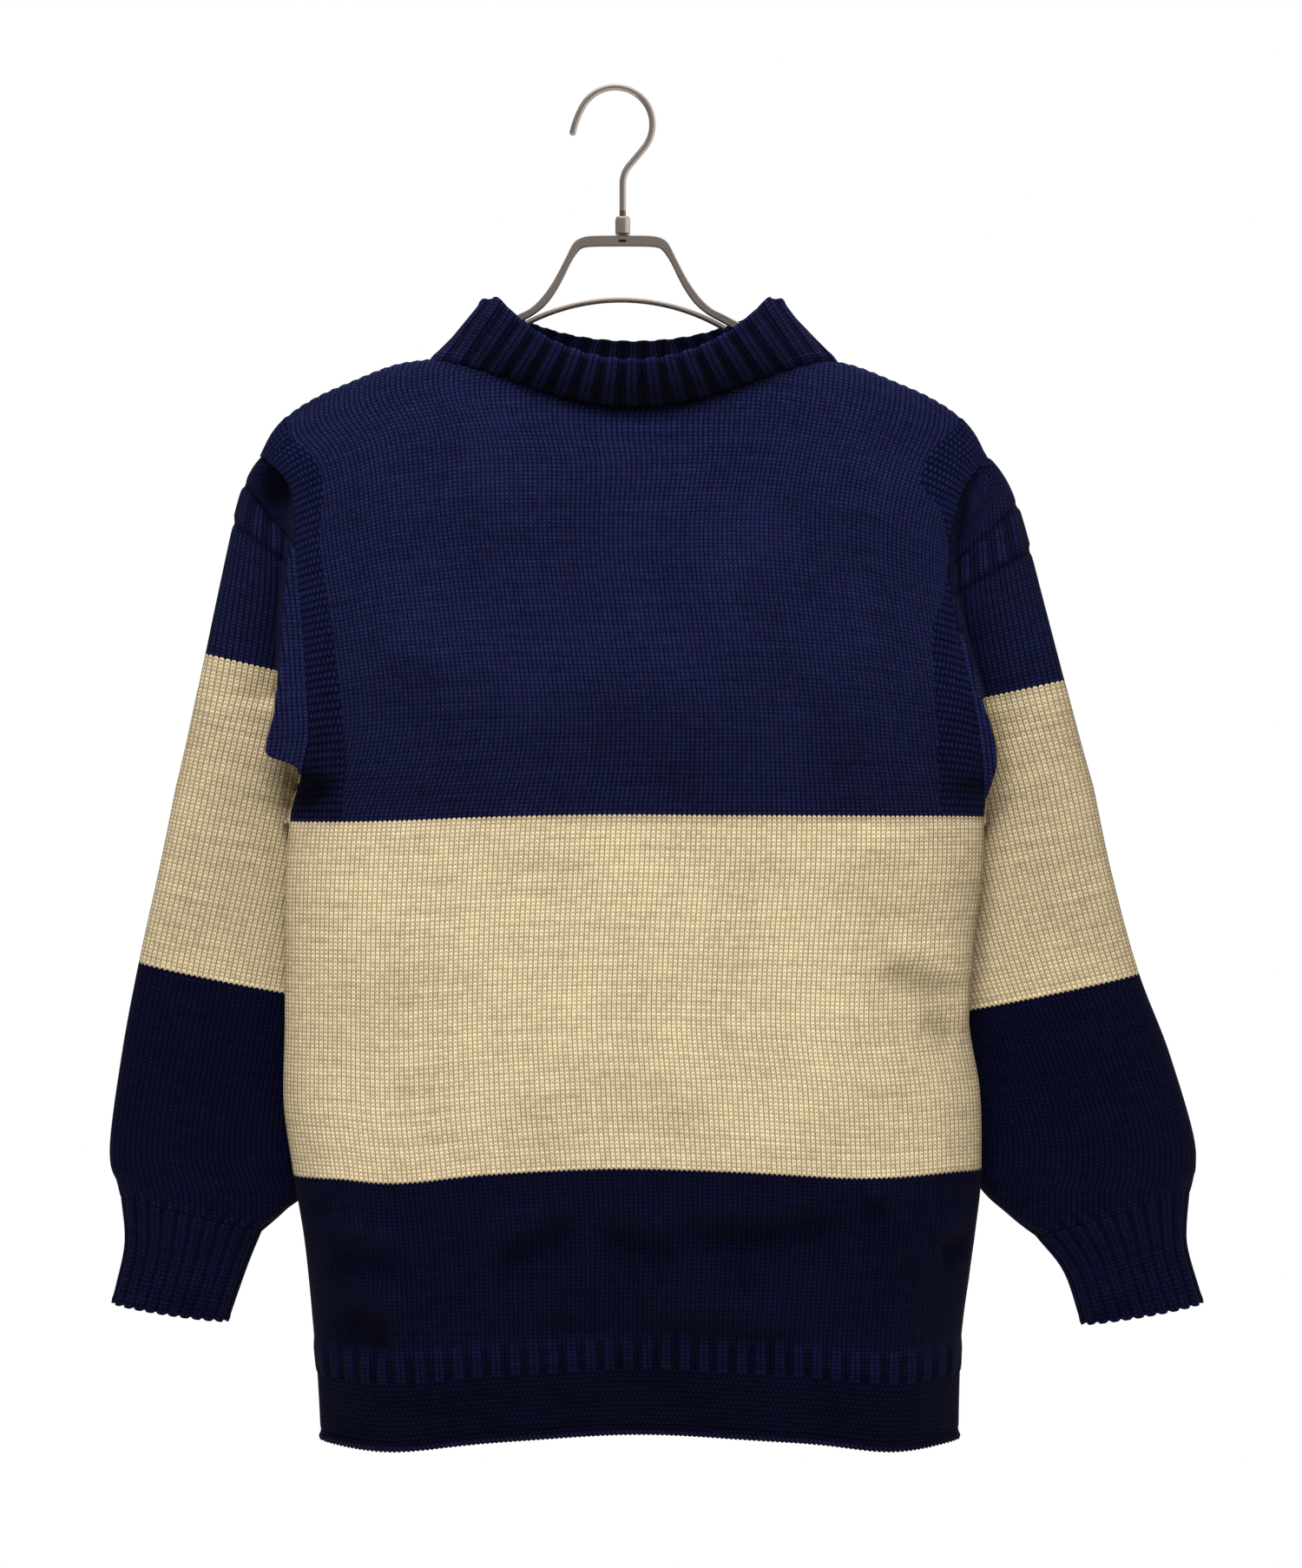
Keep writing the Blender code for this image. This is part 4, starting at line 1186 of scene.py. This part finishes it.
metalLook = {
    "dull": (0.385, 0.325, 0.285, 1),
    "bright": (0.47, 0.40, 0.355, 1),
    # dark is painted shade, in the slot and in the thread's grooves
    "dark": (0.03, 0.022, 0.02, 1),
    "slot": (0.0006, -0.0973, 0.0025, 0.0008),      # middle x and z, half width and height
    "thread": (-0.0817, -0.0776, 0.0009),           # bottom, top and pitch
    "roughness": (0.36, 0.48),
    "bump": 0.06,
    "bumpDepth": 0.0002,
}


def metalFinish(name, detail=None):
    finish = Finish(bpy.data.materials.new(name))
    place = finish.node("ShaderNodeTexCoord", output=3)
    wear = finish.node("ShaderNodeTexNoise", {}, {"Vector": place, "Scale": 40.0, "Detail": 4.0})
    tone = finish.blend(wear, metalLook["dull"], metalLook["bright"])
    x, z = finish.axis(place, 0), finish.axis(place, 2)
    height = None
    if detail == "slot":
        middle, level, wide, high = metalLook["slot"]
        across = (x - middle).math("ABSOLUTE").math("LESS_THAN", wide)
        hole = across * (z - level).math("ABSOLUTE").math("LESS_THAN", high)
        # painted shade where the slot goes through the frame
        tone = finish.blend(hole, tone, metalLook["dark"])
        height = hole * -3
    if detail == "thread":
        bottom, top, pitch = metalLook["thread"]
        inThread = z.over(bottom) * z.math("LESS_THAN", top)
        turns = (z * (2 * math.pi / pitch)).wave() * 0.5 + 0.5
        # painted shade in the thread's grooves
        tone = finish.blend(inThread * (1 - turns * 0.7), tone, metalLook["dark"])
        height = inThread * turns * 2
    if height is not None:
        bump = {"Strength": metalLook["bump"], "Distance": metalLook["bumpDepth"], "Height": height}
        finish.set(Normal=finish.node("ShaderNodeBump", sockets=bump))
    smoothest, roughest = metalLook["roughness"]
    finish.set(Base_Color=tone, Roughness=wear * (roughest - smoothest) + smoothest, Metallic=1.0)
    return finish.owner


def finishHanger():
    plain = metalFinish("satin_nickel")
    buildHook(metalFinish("threaded_nickel", "thread"))
    buildRod(plain)
    buildFerrule(plain)
    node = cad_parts["hanger_frame"]
    node.data.materials.clear()
    node.data.materials.append(metalFinish("slotted_nickel", "slot"))


# Build

sleeveCream = {
    side: [math.floor(sleeveCourse(sleeves[side][edge])) for edge in ("creamTop", "creamBottom")]
    for side in (left, right)
}
bodyWool = woolFinish("body_wool", (body["creamTop"], body["creamBottom"]), tone="upper")
sleeveWools = {
    side: woolFinish(f"sleeve_wool_{name}", sleeveCream[side], tone="upper")
    for name, side in sides.items()
}
ribWool = woolFinish("rib_wool")
collarWool = woolFinish("collar_wool", tone="upper")
gussetWool = woolFinish("gusset_wool", tone="upper")
weltWool = woolFinish("welt_wool", pattern="purl")

buildPanels(bodyWool)
print("front and back knitted")
buildWelts(weltWool)
buildCollar(collarWool)
print("collar and welts knitted")
buildSleeves(sleeveWools)
buildCuffs(ribWool)
buildGussets(gussetWool)
print("sleeves, cuffs and gussets knitted")
finishHanger()
print("hanger finished")

# Stage, light and camera

studio = {
    "floorZ": -1.35,
    "floorHalf": 1.4,
    "floor": (0.86, 0.86, 0.85, 1),
    "centre": (0.01904, 0.0, -0.44733),
    "distance": 2.2,
    "sensor": 36.0,
    "viewHeight": 1.01136,
    "backdrop": 1.0,            # how bright the surroundings look
    "ambient": (0.14, 0.52),    # how much they light, from below and from above
    "ceiling": (0.72, 8, 1.7),  # where a pale panel starts, how sharply, and how bright it is
    "window": (0.62, 6, 1.1),   # the same for a window at the right
    "lamps": {
        "key": {"place": (-0.4, -2.6, 2.2), "power": 250},
        "behind": {"place": (0.5, 2.6, 1.8), "power": 150},
    },
    "lampSize": (2.4, 1.5),
    "lampTarget": (0, 0, -0.4),
}


def softBox(name, place, power):
    data = bpy.data.lights.new(name, "AREA")
    data.shape = "RECTANGLE"
    data.size, data.size_y = studio["lampSize"]
    data.energy = power
    lamp = placed(name, data)
    lamp.location = place
    lamp.visible_glossy = False
    ahead = Vector(studio["lampTarget"]) - Vector(place)
    lamp.rotation_euler = ahead.to_track_quat("-Z", "Y").to_euler()


def buildFloor():
    bm = bmesh.new()
    bmesh.ops.create_grid(bm, x_segments=1, y_segments=1, size=studio["floorHalf"])
    bmesh.ops.translate(bm, verts=bm.verts, vec=(0, 0, studio["floorZ"]))
    mesh = bpy.data.meshes.new("floor")
    bm.to_mesh(mesh)
    bm.free()
    floor = placed("floor", mesh)
    pale = Finish(bpy.data.materials.new("pale_floor"))
    pale.set(Base_Color=studio["floor"], Roughness=0.8)
    floor.data.materials.append(pale.owner)


def buildSurroundings():
    # white where the camera sees them, and softer as light
    around = Finish(bpy.data.worlds.new("studio"), "Background")
    place = around.node("ShaderNodeTexCoord")
    across, up = around.axis(place, 0), around.axis(place, 2)
    low, high = studio["ambient"]
    light = up * ((high - low) / 2) + (high + low) / 2
    for toward, name in ((up, "ceiling"), (across, "window")):
        start, sharp, bright = studio[name]
        shining = ((toward - start) * sharp).clip() * bright
        light = light + shining * around.node("ShaderNodeLightPath", output="Is Glossy Ray")
    seen = around.node("ShaderNodeLightPath", output="Is Camera Ray")
    around.set(Color=(1, 1, 1, 1), Strength=light + (studio["backdrop"] - light) * seen)
    bpy.context.scene.world = around.owner


def buildCamera():
    data = bpy.data.cameras.new("camera")
    data.sensor_width = studio["sensor"]
    data.lens = studio["sensor"] * studio["distance"] / studio["viewHeight"]
    camera = placed("camera", data)
    camera.location = Vector(studio["centre"]) - Vector((0, studio["distance"], 0))
    camera.rotation_euler = (math.pi / 2, 0, 0)
    bpy.context.scene.camera = camera


buildFloor()
buildSurroundings()
for name, lamp in studio["lamps"].items():
    softBox(name, lamp["place"], lamp["power"])
buildCamera()
bpy.context.scene.view_settings.view_transform = "Standard"
print("stage set")
